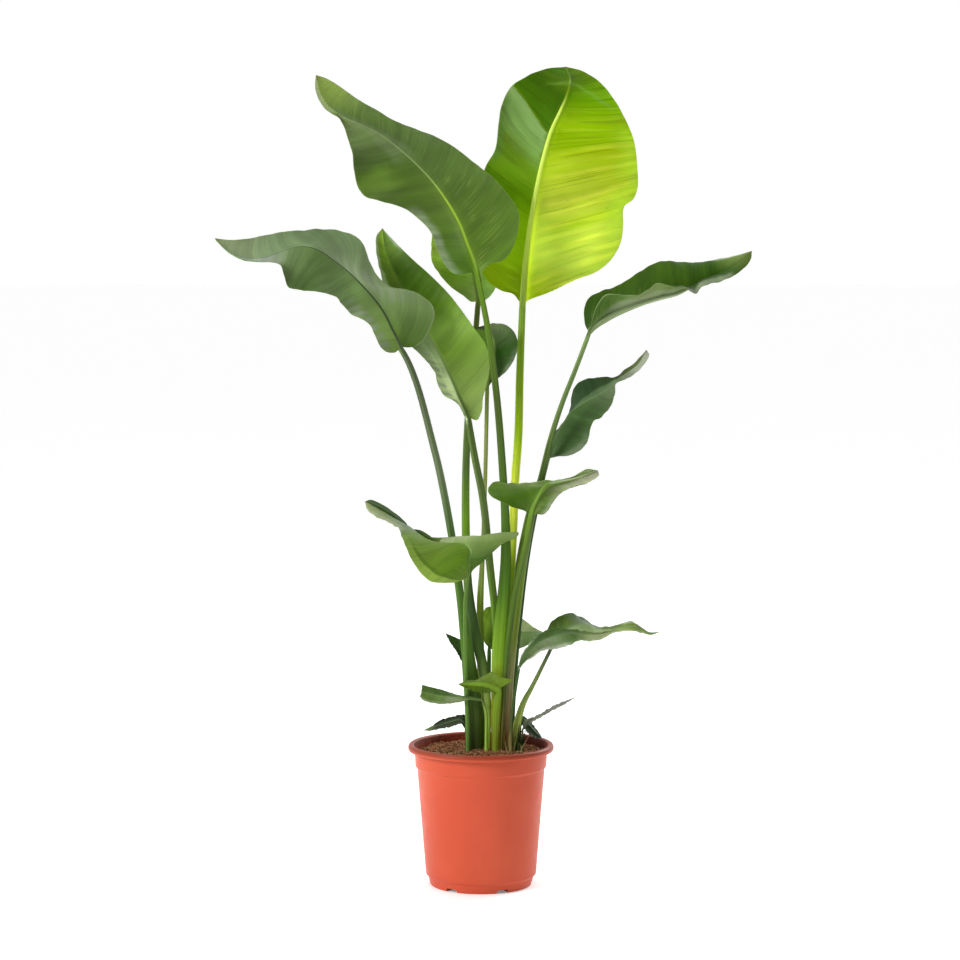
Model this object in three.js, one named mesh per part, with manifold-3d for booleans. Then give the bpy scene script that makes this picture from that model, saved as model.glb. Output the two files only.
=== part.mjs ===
// Potted bird of paradise.
// Units are millimetres and +Z is up. The origin is the centre of the pot's standing face, and the
// plant's front is towards -Y.

import * as THREE from 'three';
import { mergeVertices } from 'three/addons/utils/BufferGeometryUtils.js';
import Module from 'manifold-3d';

const wasm = await Module();
wasm.setup();

// Pot: radii and heights of the outside
const potHeight = 205;
const rimRadius = 105;
const lipDrop = 9;
const collarRadius = 95.5;
const collarStep = 171;
const wallTopRadius = 92;
const wallFootRadius = 79.7;
const footHeight = 13;
const footTopRadius = 76.3;
const footRadius = 73.5;
const potWall = 1.5;
const floorThickness = 2;
const potSides = 40;

// Drainage notches in the foot, evenly spaced, the first one left of the front
const notchCount = 6;
const notchFirstAngle = -125;
const notchWidth = 19;
const notchHeight = 5;
const notchInnerRadius = 50;

// Soil
const soilLevel = 190;
const soilMound = 4;
const soilGap = 0.6;
const soilFootRadius = 44;
const soilRings = 11;
const soilSides = 36;
const soilLumps = 1.6;
const holeClearance = 1.2;
const holeSeat = 0.6;
const holeSides = 10;

// Leaves: blade thickness, width of the tip, and how long the midrib stays thick
const bladeThickness = 0.8;
const tipHalfWidth = 0.9;
const ribTaper = 0.8;
const ribTipHalfWidth = 0.7;

// Every leaf point is written as [across, depth, up] where it is seen from an eye in front of the
// plant. A point that lies deeper is moved along its line of sight, so it is seen in the same place.
const eyeDistance = 4200;
const eyeHeight = 955;

// Finish of each piece
const finishes = {
  pot: { color: '#d2573b', roughness: 0.45 },
  soil: { color: '#5a3c28', roughness: 1.0 },
  youngLeaf: { color: '#a4c73a', roughness: 0.5 },
  freshLeaf: { color: '#5d8c2c', roughness: 0.5 },
  leaf: { color: '#47752f', roughness: 0.45 },
  darkLeaf: { color: '#33592a', roughness: 0.45 },
};

// The leaves.
// stalk: centre line from the soil to the blade, as [across, depth, up, half width, half thickness]
// rib:   the midrib from the blade's base to its tip, without the base
// left, right: the two margins, as seen on the upper face with the tip up, without base and tip
// deep:  how much the blade's depths are stretched, counted from its base
// cup:   how far each half bulges, left then right, towards the upper face
// wave:  height and number of the waves along the margins
// grid:  rows along the blade, columns on each half, rows along the stalk
const leaves = {
  leaf_upper_left: {
    finish: 'leaf', grid: [22, 4, 9], deep: 1.4, cup: [-4, -5], wave: [3, 5],
    stalk: [[24, -3, 145, 9, 6], [24, -3, 210, 9.5, 6], [24.5, -3, 280, 10, 6.2],
      [27.5, -3, 356, 11, 6.4], [32, -3, 413, 9, 6], [35.5, -3, 470, 7.6, 5.4], [35, -3, 529, 6.2, 5],
      [32, -3, 586, 5.6, 4.6], [23, -2, 701, 5, 4.2], [10, 2, 801, 4.4, 3.8], [-3, 6, 868, 3.8, 3.5]],
    rib: [[-9, 9, 893], [-18, 13, 919], [-31, 24, 953], [-48, 38, 983], [-70, 54, 1013],
      [-96, 68, 1040], [-119, 78, 1060], [-141, 85, 1077], [-167, 90, 1091], [-191, 94, 1101],
      [-214, 97, 1116], [-228, 99, 1136], [-233, 101, 1161]],
    left: [[-13, 6, 882], [-24, 4, 880], [-38, 6, 881], [-50, 10, 892], [-61, 16, 912], [-71, 24, 939],
      [-88, 30, 958], [-107, 34, 974], [-136, 36, 981], [-160, 38, 987], [-173, 42, 1002],
      [-180, 50, 1027], [-183, 58, 1050], [-188, 68, 1070], [-194, 80, 1091], [-203, 94, 1102],
      [-219, 104, 1114], [-231, 108, 1128], [-235.5, 108, 1142], [-235, 105, 1152]],
    right: [[4, 6, 885], [14, 4, 895], [31, 6, 900], [44, 12, 916], [53, 20, 944], [53, 30, 970],
      [35, 42, 999], [18, 50, 1016], [0, 58, 1029], [-18, 66, 1046], [-36, 74, 1060], [-70, 84, 1076],
      [-107, 92, 1092], [-130, 95, 1102], [-148, 97, 1112], [-171, 99, 1125], [-189, 100, 1138],
      [-208, 101, 1151], [-222, 102, 1158]],
  },
  leaf_tall_backlit: {
    finish: 'youngLeaf', grid: [22, 4, 9], deep: 1, cup: [5, 5], wave: [2, 4],
    stalk: [[32, 20, 145, 5.5, 4.5], [32, 20, 210, 5.5, 4.5], [35, 21, 300, 5.5, 4.5],
      [40.5, 24, 400, 6, 5], [45.5, 30, 500, 6, 5], [49, 40, 586, 6, 5], [53.4, 56, 650, 6, 4.8],
      [55.6, 76, 740, 5.6, 4.6], [59.3, 96, 841, 4.8, 4.2]],
    rib: [[64, 103, 898], [70, 107, 950], [79, 110, 1000], [89, 114, 1046], [100, 119, 1084],
      [112, 124, 1110], [122, 132, 1133], [126, 150, 1152], [120, 190, 1173]],
    left: [[69, 92, 844], [98, 89, 855], [132, 86, 871], [165, 84, 884], [185, 85, 901],
      [198, 88, 924], [202, 94, 948], [202, 100, 971], [205, 102, 978], [215, 100, 985],
      [222, 104, 1001], [222, 110, 1031], [217, 118, 1068], [204, 128, 1100], [188, 142, 1129],
      [172, 158, 1148], [156, 170, 1160], [136, 182, 1169]],
    right: [[46, 98, 852], [29, 104, 857], [11, 108, 869], [-5, 110, 898], [-10, 112, 950],
      [-4, 116, 1000], [7, 118, 1034], [20, 119, 1057], [25, 122, 1094], [29, 128, 1118],
      [42, 138, 1145], [68, 152, 1161], [94, 170, 1170]],
  },
  leaf_behind_centre: {
    finish: 'freshLeaf', grid: [16, 3, 9], deep: 1, cup: [-4, -4], wave: [2, 4],
    stalk: [[9.5, 3, 145, 4.4, 4], [9.5, 3, 210, 4.4, 4], [9.5, 4, 260, 5, 4], [4, 8, 309, 7, 4.4],
      [-6, 14, 355, 8, 4.8], [-15, 24, 400, 7.4, 4.8], [-19, 31, 440, 6.2, 4.6],
      [-21.5, 46, 500, 6, 4.5], [-21.5, 70, 601, 5.5, 4.3], [-17, 96, 700, 4.8, 4],
      [-7, 126, 804, 4.2, 3.6], [-4, 138, 842, 4, 3.5]],
    rib: [[-10, 144, 880], [-22, 152, 925], [-42, 162, 965], [-70, 170, 1008]],
    left: [[-14, 138, 841], [-27, 134, 851], [-41, 132, 861], [-58, 130, 878], [-69, 130, 898],
      [-71, 132, 919], [-70, 136, 940], [-72, 146, 964], [-75, 158, 988]],
    right: [[5, 136, 843], [14, 134, 850], [22, 134, 866], [24, 140, 892], [14, 150, 930],
      [-5, 158, 965], [-35, 164, 992]],
  },
  leaf_small_behind: {
    finish: 'darkLeaf', grid: [12, 3, 7], deep: 1, cup: [-3, -3], wave: [1.5, 3],
    stalk: [[1, 20, 145, 5, 4], [1, 20, 210, 5, 4], [0, 28, 300, 5.4, 4], [-1, 34, 355, 5.4, 4],
      [-1, 36, 413, 5, 4], [2, 36, 471, 3.4, 3.2], [5, 36, 550, 3, 2.8], [7, 36, 629, 3, 2.6],
      [9, 36, 722, 3, 2.6]],
    rib: [[15, 38, 748], [20, 44, 775], [14, 52, 795], [-4, 62, 802], [-28, 70, 798]],
    left: [[4, 36, 728], [-8, 34, 748], [-12, 40, 770], [-14, 52, 786], [-22, 64, 792]],
    right: [[16, 33, 727], [26, 30, 733], [42, 30, 750], [52, 34, 772], [50, 42, 793], [38, 50, 807],
      [18, 60, 810], [-4, 66, 806]],
  },
  leaf_left_arching: {
    finish: 'leaf', grid: [22, 4, 9], deep: 1.7, cup: [-4, -5], wave: [1, 5],
    stalk: [[-10, 0, 145, 13, 8], [-10, 0, 210, 13, 8], [-11, 0, 260, 12.5, 8],
      [-15, 0, 300, 11.5, 7.5], [-21.5, 0, 355, 8.5, 6.5], [-29, -1, 413, 6, 5.4],
      [-41, 0, 500, 5.6, 5], [-58, -5, 593, 5.5, 4.8], [-68.5, -9, 637, 5.3, 4.6],
      [-91, -18, 722, 5, 4.3], [-106, -24, 760, 4.7, 4.1], [-115, -27, 775, 4.4, 4]],
    rib: [[-125, -31, 800], [-140, -36, 829], [-160, -42, 855], [-188, -48, 884], [-210, -52, 901],
      [-232, -54, 915], [-252, -56, 920], [-278, -58, 915], [-305, -60, 905], [-335, -58, 903],
      [-360, -54, 914], [-378, -50, 931]],
    left: [[-122, -34, 769], [-136, -46, 770], [-145, -56, 781], [-153, -62, 798], [-166, -66, 814],
      [-184, -64, 823], [-196, -62, 836], [-207, -70, 848], [-228, -80, 854], [-252, -86, 858],
      [-274, -90, 862], [-280, -86, 877], [-286, -78, 894], [-302, -70, 898], [-336, -64, 901],
      [-358, -58, 912]],
    right: [[-106, -24, 776], [-93, -16, 778], [-81, -10, 787], [-71, -6, 805], [-66, -2, 824],
      [-71, 0, 838], [-86, 0, 850], [-104, -2, 859], [-127, -6, 862], [-143, -8, 872], [-154, -8, 887],
      [-162, -8, 911], [-174, -8, 932], [-199, -12, 941], [-234, -18, 944], [-263, -24, 943],
      [-286, -30, 939], [-320, -38, 933], [-353, -46, 929]],
  },
  leaf_left_inner: {
    finish: 'freshLeaf', grid: [22, 4, 9], deep: 1.5, cup: [-5, -6], wave: [1.5, 4],
    stalk: [[19, 14, 145, 4.8, 4.2], [19, 14, 210, 4.8, 4.2], [24, 14, 300, 5.2, 4.2],
      [23, 12, 355, 5.4, 4.2], [18.5, 10, 413, 5.6, 4.3], [13.5, 8, 457, 5.7, 4.3],
      [3, 6, 558, 5.7, 4.3], [-9, 4, 620, 5.4, 4.2], [-18, 3, 674, 4.6, 3.8]],
    rib: [[-27, 5, 698], [-37, 9, 722], [-47, 13, 744], [-58, 18, 766], [-72, 24, 792], [-92, 32, 828],
      [-112, 40, 862], [-128, 47, 893], [-137, 52, 918], [-140, 55, 945]],
    left: [[-24, 0, 680], [-31, -4, 692], [-41, -6, 701], [-51, -6, 706], [-58, -4, 717],
      [-63, -2, 729], [-67, 2, 742], [-82, 6, 760], [-98, 10, 778], [-120, 16, 805], [-135, 22, 838],
      [-139, 28, 866], [-146, 36, 892], [-149, 44, 916], [-148, 52, 936]],
    right: [[-6, 6, 672], [1, 7, 685], [3, 8, 704], [10, 10, 730], [13, 14, 757], [6, 19, 782],
      [-9, 24, 803], [-27, 29, 828], [-48, 34, 855], [-70, 39, 877], [-100, 46, 904], [-126, 53, 930]],
  },
  leaf_right_arching: {
    finish: 'darkLeaf', grid: [22, 4, 9], deep: 1, cup: [5, 5], wave: [1, 5],
    stalk: [[36.5, 7, 145, 7.5, 5.2], [36.5, 7, 210, 7.5, 5.2], [40, 7, 297, 7.5, 5.4],
      [46, 6, 355, 7, 5.4], [52, 4, 413, 7.6, 6], [57.5, 3, 463, 9.2, 7], [62, 1.5, 490, 9.2, 7.2],
      [71, 0.5, 536, 8.4, 7], [85, -2, 583, 6.2, 5.6], [99, -5, 644, 4.9, 4.4], [115, -8, 695, 4.6, 4],
      [134.5, -10, 745, 4.5, 3.9], [154, -12, 797, 4.1, 3.6]],
    rib: [[165, -14, 809], [177, -16, 818], [188, -17, 824], [206, -17, 832], [230, -13, 841],
      [255, -8, 848], [280, -2, 854], [298, 3, 863], [317, 9, 872], [343, 16, 884], [366, 22, 898],
      [385, 27, 913]],
    left: [[149, -6, 807], [147, 2, 819], [147, 8, 833], [154, 14, 847], [169, 18, 855],
      [187, 22, 861], [205, 26, 871], [223, 28, 881], [237, 29, 891], [251, 30, 898], [265, 31, 899],
      [290, 32, 897], [312, 33, 898], [340, 32, 902], [361, 30, 907], [377, 28, 911]],
    right: [[158, -24, 812], [162, -36, 830], [171, -44, 845], [182, -49, 852], [202, -52, 851],
      [226, -51, 852], [239, -50, 859], [250, -48, 866], [269, -44, 864], [289, -42, 862],
      [299, -41, 855], [306, -38, 851], [315, -28, 863], [340, -16, 870], [359, -4, 877],
      [373, 8, 888], [384, 20, 902]],
  },
  leaf_right_curled: {
    finish: 'darkLeaf', grid: [16, 3, 7], deep: 1.5, cup: [-3, -3], wave: [1, 3],
    stalk: [[44, 18, 145, 4, 3.6], [44, 18, 210, 4, 3.6], [48, 18, 300, 4, 3.6], [55, 17, 380, 4, 3.6],
      [67, 15, 480, 4, 3.6], [82, 14, 560, 4, 3.4], [90, 14, 595, 3.8, 3.2], [96, 14, 618, 3.5, 3]],
    rib: [[101, 15, 636], [107, 17, 652], [116, 20, 668], [129, 23, 685], [147, 27, 698],
      [172, 30, 712], [191, 33, 729], [208, 36, 740], [224, 38, 752], [236, 40, 772]],
    left: [[97, 18, 626], [101, 24, 643], [106, 30, 656], [117, 36, 670], [126, 38, 684],
      [129, 40, 700], [132, 41, 716], [140, 42, 727], [153, 42, 732], [177, 41, 734], [192, 40, 733],
      [202, 40, 742], [216, 41, 752], [227, 41, 763]],
    right: [[101, 12, 618], [110, 8, 620], [124, 4, 621], [137, 2, 626], [148, 2, 635], [154, 4, 647],
      [157, 6, 660], [161, 8, 670], [170, 10, 675], [179, 13, 684], [187, 16, 697], [192, 20, 714],
      [193, 25, 726], [206, 29, 730], [223, 32, 742], [235, 36, 755], [240, 39, 766]],
  },
  leaf_mid_right: {
    finish: 'freshLeaf', grid: [16, 3, 7], deep: 1, cup: [5, 6], wave: [1, 3],
    stalk: [[30, -12, 145, 2.8, 3], [30, -12, 210, 2.8, 3], [33, -12, 268, 3.2, 3.2],
      [36.5, -12, 326, 3.8, 3.4], [41.5, -12, 370, 4.4, 3.6], [47.5, -14, 413, 4.6, 3.6],
      [57, -20, 460, 4, 3.4], [65, -29, 500, 3.4, 3.2], [71, -40, 537, 3.2, 3]],
    rib: [[77, -46, 552], [84, -48, 566], [93, -42, 577], [107, -24, 581], [128, 4, 586],
      [149, 32, 593], [167, 52, 600]],
    left: [[80, -50, 537], [90, -56, 537], [98, -58, 545], [102, -56, 552], [110, -48, 563],
      [122, -36, 573], [138, -14, 578], [155, 12, 584], [169, 36, 593]],
    right: [[62, -46, 542], [46, -58, 547], [27, -64, 556], [14, -62, 563], [10, -52, 572],
      [14, -40, 581], [24, -28, 585], [40, -20, 582], [63, -18, 581], [85, -16, 585], [109, -10, 587],
      [131, 10, 591], [151, 34, 602]],
  },
  leaf_mid_left: {
    finish: 'freshLeaf', grid: [18, 3, 6], deep: 1, cup: [6, 4], wave: [1, 3],
    stalk: [[-19, -13, 145, 3, 2.6], [-19, -13, 210, 3, 2.6], [-22, -13, 297, 3, 2.6],
      [-23, -16, 384, 2.8, 2.6], [-22, -26, 420, 2.8, 2.6], [-20, -36, 444, 3, 2.8]],
    rib: [[-18, -44, 468], [-16, -46, 485], [-26, -38, 495], [-49, -22, 496], [-73, -6, 500],
      [-96, 6, 512], [-115, 16, 524], [-133, 27, 537], [-152, 36, 548], [-166, 43, 555]],
    left: [[-27, -44, 442], [-37, -54, 439], [-52, -66, 438], [-71, -72, 440], [-86, -72, 452],
      [-101, -66, 474], [-112, -58, 501], [-117, -40, 516], [-129, -20, 523], [-148, 4, 532],
      [-163, 26, 544]],
    right: [[-11, -42, 457], [1, -42, 467], [16, -40, 481], [33, -34, 496], [48, -26, 502.5],
      [54, -20, 508], [53, -16, 512], [46, -14, 510], [36, -14, 506], [22, -14, 504], [4, -14, 505],
      [-14, -14, 503], [-33, -14, 498], [-52, -14, 496], [-69, -14, 503], [-82, -12, 513],
      [-99, -4, 517], [-112, 8, 529], [-128, 20, 542], [-145, 34, 553], [-159, 42, 558]],
  },
  leaf_low_right_long: {
    finish: 'freshLeaf', grid: [16, 3, 5], deep: 1, cup: [-3, -2], wave: [1, 3],
    stalk: [[48.5, -5, 145, 6.5, 4], [48.5, -5, 205, 6.5, 4], [52, -5, 232, 5.8, 3.8],
      [60.5, -4, 262, 4.4, 3.4], [75, -2, 290, 3.2, 2.8], [101, 6, 343, 2.6, 2.4]],
    rib: [[111, 10, 362], [130, 16, 376], [152, 24, 378], [176, 32, 370], [200, 40, 373],
      [222, 46, 375], [240, 50, 366], [257, 54, 367]],
    left: [[96, 12, 350], [94, 18, 364], [100, 26, 380], [112, 34, 390], [128, 40, 394], [146, 44, 387],
      [164, 46, 377], [180, 48, 375], [199, 50, 378], [218, 52, 382], [231, 52, 374], [243, 53, 367]],
    right: [[112, 2, 348], [130, 0, 352], [154, 4, 357], [178, 14, 363], [200, 26, 368],
      [226, 38, 367], [246, 48, 363]],
  },
  leaf_low_right_front: {
    finish: 'leaf', grid: [14, 3, 5], deep: 1, cup: [-2, -3], wave: [1, 3],
    stalk: [[43, -13, 145, 2.4, 2.2], [43, -13, 205, 2.4, 2.2], [44, -13, 236, 2.4, 2.2],
      [48, -16, 272, 2.4, 2.2], [53, -24, 305, 2.4, 2.2], [55, -28, 316, 2.4, 2.2]],
    rib: [[64, -34, 332], [80, -40, 350], [100, -46, 360], [125, -48, 365], [150, -46, 363],
      [175, -40, 364], [192, -34, 369]],
    left: [[56, -26, 326], [62, -26, 340], [72, -26, 353], [86, -26, 364], [101, -28, 371],
      [118, -30, 373], [137, -32, 370], [160, -33, 366], [180, -33, 368]],
    right: [[61, -36, 320], [67, -44, 326], [76, -52, 331], [87, -58, 339], [101, -62, 341],
      [119, -64, 345], [131, -64, 350], [140, -62, 355], [155, -56, 353], [171, -48, 356],
      [184, -40, 362]],
  },
  leaf_low_behind: {
    finish: 'leaf', grid: [12, 3, 4], deep: 1, cup: [-2, -2], wave: [0.8, 3],
    stalk: [[10, 36, 145, 3.4, 3], [10, 36, 210, 3.4, 3], [11, 39, 280, 3.2, 3], [12, 42, 344, 3, 2.8]],
    rib: [[24, 44, 357], [45, 46, 365], [70, 46, 367], [93, 44, 365]],
    left: [[5, 46, 352], [1, 52, 374], [2, 58, 394], [9, 60, 403], [21, 61, 402], [38, 60, 396],
      [58, 56, 387], [76, 50, 374]],
    right: [[20, 40, 341], [35, 38, 338], [52, 37, 342], [66, 38, 347], [81, 41, 356]],
  },
  leaf_low_left_tip: {
    finish: 'darkLeaf', grid: [9, 3, 4], deep: 1, cup: [-1, -1], wave: [0.5, 2],
    stalk: [[-10, 21, 145, 3.4, 3], [-10, 21, 210, 3.4, 3], [-11, 22, 270, 3.2, 2.8],
      [-12, 22, 306, 3, 2.6]],
    rib: [[-18, 22, 324], [-32, 21, 345], [-51, 20, 365]],
    left: [[-17, 18, 308], [-26, 16, 322], [-36, 16, 339], [-45, 17, 353]],
    right: [[-9, 24, 318], [-12, 26, 338], [-21, 26, 351], [-36, 24, 359]],
  },
  leaf_low_front: {
    finish: 'freshLeaf', grid: [10, 3, 4], deep: 1, cup: [2, 2], wave: [0.4, 3],
    stalk: [[21, -15, 145, 4.5, 2.8], [21, -15, 205, 4.5, 2.8], [22, -17, 250, 5.2, 2.8],
      [25, -22, 282, 5.6, 2.8]],
    rib: [[14, -27, 289], [2, -30, 291], [-14, -31, 291], [-33, -30, 291]],
    left: [[32, -25, 288], [40, -24, 293], [46, -23, 297], [34, -21, 300], [24, -21, 304],
      [16, -21, 309], [6, -22, 304], [-6, -23, 298], [-20, -26, 296]],
    right: [[16, -28, 280], [8, -32, 278], [-4, -35, 280], [-18, -35, 284], [-28, -33, 288]],
  },
  leaf_low_left_roll: {
    finish: 'leaf', grid: [12, 3, 4], deep: 1, cup: [-1, -1], wave: [0.4, 2],
    stalk: [[8, -11, 145, 2.9, 2.3], [8, -11, 205, 2.9, 2.3], [7, -14, 250, 2.5, 2.1],
      [2, -19, 268, 2, 1.8]],
    rib: [[-14, -21, 270], [-28, -20, 271], [-45, -12, 273], [-62, -5, 275], [-80, 4, 279],
      [-86, 14, 281], [-78, 22, 282]],
    left: [[-16, -23, 268], [-30, -22, 265], [-44, -18, 263], [-58, -13, 262], [-73, -8, 264],
      [-84, 0, 268], [-88, 10, 274], [-84, 18, 279]],
    right: [[-16, -19, 273], [-30, -18, 275], [-44, -8, 279], [-60, -2, 284], [-77, 4, 288],
      [-85, 10, 290], [-84, 18, 286]],
  },
  leaf_low_left_droop: {
    finish: 'darkLeaf', grid: [9, 3, 3], deep: 1, cup: [-1, -1], wave: [0.4, 2],
    stalk: [[-20, 13, 145, 2.4, 2.2], [-20, 13, 205, 2.4, 2.2], [-22, 14, 228, 2.3, 2.1]],
    rib: [[-30, 14, 238], [-45, 12, 236], [-64, 8, 230], [-83, 4, 224]],
    left: [[-27, 8, 233], [-34, 2, 232], [-47, -2, 228], [-63, -2, 225], [-76, 1, 223]],
    right: [[-20, 20, 240], [-24, 24, 247], [-44, 22, 243], [-60, 18, 238], [-73, 10, 229]],
  },
  leaf_low_right_thin: {
    finish: 'darkLeaf', grid: [9, 3, 3], deep: 1, cup: [-1, -1], wave: [0.4, 2],
    stalk: [[60, 10, 145, 2, 1.8], [60, 10, 205, 2, 1.8], [60, 10, 225, 1.8, 1.6]],
    rib: [[68, 10, 238], [80, 9, 244], [92, 8, 250], [105, 7, 258], [120, 6, 265], [136, 4, 272]],
    left: [[62, 16, 237], [74, 22, 243], [88, 25, 250], [104, 22, 259], [121, 14, 267]],
    right: [[67, 3, 232], [77, -6, 238], [90, -10, 245], [106, -9, 254], [122, -4, 263]],
  },
  leaf_low_right_droop: {
    finish: 'darkLeaf', grid: [8, 3, 3], deep: 1, cup: [-1, -1], wave: [0.3, 2],
    stalk: [[56, 26, 145, 1.8, 1.6], [56, 26, 205, 1.8, 1.6], [57, 28, 230, 1.8, 1.6]],
    rib: [[62, 29, 238], [70, 28, 231], [79, 26, 221], [88, 23, 213]],
    left: [[60, 34, 245], [69, 36, 239], [79, 33, 227], [85, 28, 219]],
    right: [[59, 23, 232], [63, 20, 226], [69, 18, 218], [79, 18, 212]],
  },
};

// Leaf points, curves and directions

function inSight([across, depth, up]) {
  const scale = (eyeDistance + depth) / eyeDistance;
  return new THREE.Vector3(across * scale, depth, eyeHeight + (up - eyeHeight) * scale);
}

function smooth(points) {
  return new THREE.CatmullRomCurve3(points, false, 'centripetal');
}

function evenPoints(points, count) {
  return smooth(points).getSpacedPoints(count);
}

function squareTo(vector, direction) {
  return vector.clone().addScaledVector(direction, -vector.dot(direction)).normalize();
}

function directionAt(points, index) {
  const next = points[Math.min(index + 1, points.length - 1)];
  const last = points[Math.max(index - 1, 0)];
  return next.clone().sub(last).normalize();
}

// The stalk's rings: an upper and a lower arc of points for each row

function stalkArcs(stalk, rows, across, bladeSide) {
  const centres = stalk.map(inSight);
  const curve = smooth(centres);
  const points = curve.getSpacedPoints(rows);
  const startSide = new THREE.Vector3(Math.sign(bladeSide.x) || 1, 0, 0);
  const arcs = [];
  for (let row = 0; row < rows; row += 1) {
    const place = curve.getUtoTmapping(row / rows) * (stalk.length - 1);
    const before = Math.min(Math.floor(place), stalk.length - 2);
    const halfWidth = THREE.MathUtils.lerp(stalk[before][3], stalk[before + 1][3], place - before);
    const halfDepth = THREE.MathUtils.lerp(stalk[before][4], stalk[before + 1][4], place - before);
    const along = directionAt(points, row);
    const side = squareTo(startSide.clone().lerp(bladeSide, row / rows), along);
    const up = side.clone().cross(along);
    const upper = [];
    const lower = [];
    for (let column = 0; column < across; column += 1) {
      const angle = Math.PI * (1 - (column + 0.5) / across);
      const edge = points[row].clone().addScaledVector(side, Math.cos(angle) * halfWidth);
      const rise = Math.sin(angle) * halfDepth;
      upper.push(edge.clone().addScaledVector(up, rise));
      lower.push(edge.clone().addScaledVector(up, -rise));
    }
    arcs.push({ upper, lower });
  }
  return arcs;
}

// The blade's middle surface: rows from base to tip, columns from the left margin to the right one

function bladeGrid(leaf, base, baseHalfWidth, rows, columns) {
  const deepen = ([x, depth, z]) => inSight([x, leaf.base[1] + (depth - leaf.base[1]) * leaf.deep, z]);
  const rib = [base, ...leaf.rib.map(deepen)];
  const leftEdge = leaf.left.map(deepen);
  const rightEdge = leaf.right.map(deepen);
  const tip = rib[rib.length - 1];
  const baseAlong = rib[1].clone().sub(rib[0]).normalize();
  const acrossBase = rightEdge[0].clone().add(rightEdge[1]).sub(leftEdge[0]).sub(leftEdge[1]);
  const baseSide = squareTo(acrossBase, baseAlong);
  const margins = [
    { sign: -1, cup: leaf.cup[0], start: -baseHalfWidth, edge: leftEdge, phase: 0 },
    { sign: 1, cup: leaf.cup[1], start: baseHalfWidth, edge: rightEdge, phase: 0.9 },
  ];
  const ribPoints = evenPoints(rib, rows);
  for (const margin of margins) {
    const start = base.clone().addScaledVector(baseSide, margin.start);
    margin.points = evenPoints([start, ...margin.edge, tip], rows);
  }
  const grid = [];
  for (let row = 0; row <= rows; row += 1) {
    const along = row / rows;
    const fullness = Math.sin(Math.PI * along) ** 0.6 || 0;
    const ribHalfWidth = ribHalfWidthAt(along, baseHalfWidth);
    const line = new Array(2 * columns + 1);
    line[columns] = ribPoints[row].clone();
    for (const margin of margins) {
      const arm = margin.points[row].clone().sub(ribPoints[row]);
      const side = arm.clone().normalize().multiplyScalar(margin.sign);
      const normal = side.cross(directionAt(ribPoints, row)).normalize();
      const first = Math.min(ribHalfWidth / Math.max(arm.length(), 1e-6), 0.45);
      for (let column = 1; column <= columns; column += 1) {
        const out = first + ((1 - first) * (column - 1)) / (columns - 1);
        const ripple = Math.sin(2 * Math.PI * leaf.wave[1] * along + margin.phase);
        const lift = (margin.cup * 4 * out * (1 - out) + leaf.wave[0] * out * out * ripple) * fullness;
        const point = ribPoints[row].clone().addScaledVector(arm, out).addScaledVector(normal, lift);
        line[columns + margin.sign * column] = point;
      }
    }
    grid.push(line);
  }
  const tipAlong = directionAt(ribPoints, rows);
  const tipAcross = margins[1].points[rows - 1].clone().sub(margins[0].points[rows - 1]);
  const tipSide = squareTo(tipAcross, tipAlong);
  grid[rows] = grid[rows].map((point, column) => (
    tip.clone().addScaledVector(tipSide, (tipHalfWidth * (column - columns)) / columns)
  ));
  return { grid, baseSide };
}

function ribHalfWidthAt(along, baseHalfWidth) {
  return baseHalfWidth * (1 - along) ** ribTaper + ribTipHalfWidth * along;
}

// The blade's two faces: the middle surface moved out by half the thickness, with the midrib standing
// out below

function bladeArcs(grid, baseHalfDepth) {
  const rows = grid.length - 1;
  const last = grid[0].length - 1;
  const middle = last / 2;
  return grid.map((line, row) => {
    const upper = [];
    const lower = [];
    line.forEach((point, column) => {
      const forward = grid[Math.min(row + 1, rows)][column].clone();
      forward.sub(grid[Math.max(row - 1, 0)][column]);
      const sideways = line[Math.min(column + 1, last)].clone().sub(line[Math.max(column - 1, 0)]);
      const normal = sideways.cross(forward).normalize();
      const ribDepth = (2 * baseHalfDepth - bladeThickness) * (1 - row / rows) ** ribTaper;
      const below = bladeThickness / 2 + (column === middle ? ribDepth : 0);
      upper.push(point.clone().addScaledVector(normal, bladeThickness / 2));
      lower.push(point.clone().addScaledVector(normal, -below));
    });
    return { upper, lower };
  });
}

// One closed skin round all the arcs. Both faces are split along the same diagonals.

function skinGeometry(arcs) {
  const across = arcs[0].upper.length;
  const lowerStart = arcs.length * across;
  const positions = [...arcs.flatMap((arc) => arc.upper), ...arcs.flatMap((arc) => arc.lower)];
  const faces = [];
  for (let row = 0; row < arcs.length - 1; row += 1) {
    for (let column = 0; column < across - 1; column += 1) {
      const a = row * across + column;
      const b = a + 1;
      const d = a + across;
      const c = d + 1;
      const straight = positions[a].distanceTo(positions[c]) <= positions[b].distanceTo(positions[d]);
      const pair = straight ? [[a, b, c], [a, c, d]] : [[a, b, d], [b, c, d]];
      for (const [p, q, r] of pair) {
        faces.push([p, q, r], [lowerStart + p, lowerStart + r, lowerStart + q]);
      }
    }
    const left = row * across;
    const leftNext = left + across;
    const right = left + across - 1;
    const rightNext = right + across;
    faces.push([left, leftNext, lowerStart + left], [leftNext, lowerStart + leftNext, lowerStart + left]);
    faces.push([right, lowerStart + right, rightNext]);
    faces.push([rightNext, lowerStart + right, lowerStart + rightNext]);
  }
  const tipRow = (arcs.length - 1) * across;
  for (let column = 0; column < across - 1; column += 1) {
    const foot = column;
    const tip = tipRow + column;
    faces.push([foot, lowerStart + foot, foot + 1], [foot + 1, lowerStart + foot, lowerStart + foot + 1]);
    faces.push([tip, tip + 1, lowerStart + tip], [tip + 1, lowerStart + tip + 1, lowerStart + tip]);
  }
  const geometry = new THREE.BufferGeometry().setFromPoints(positions);
  geometry.setIndex(faces.flat());
  return geometry;
}

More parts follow.
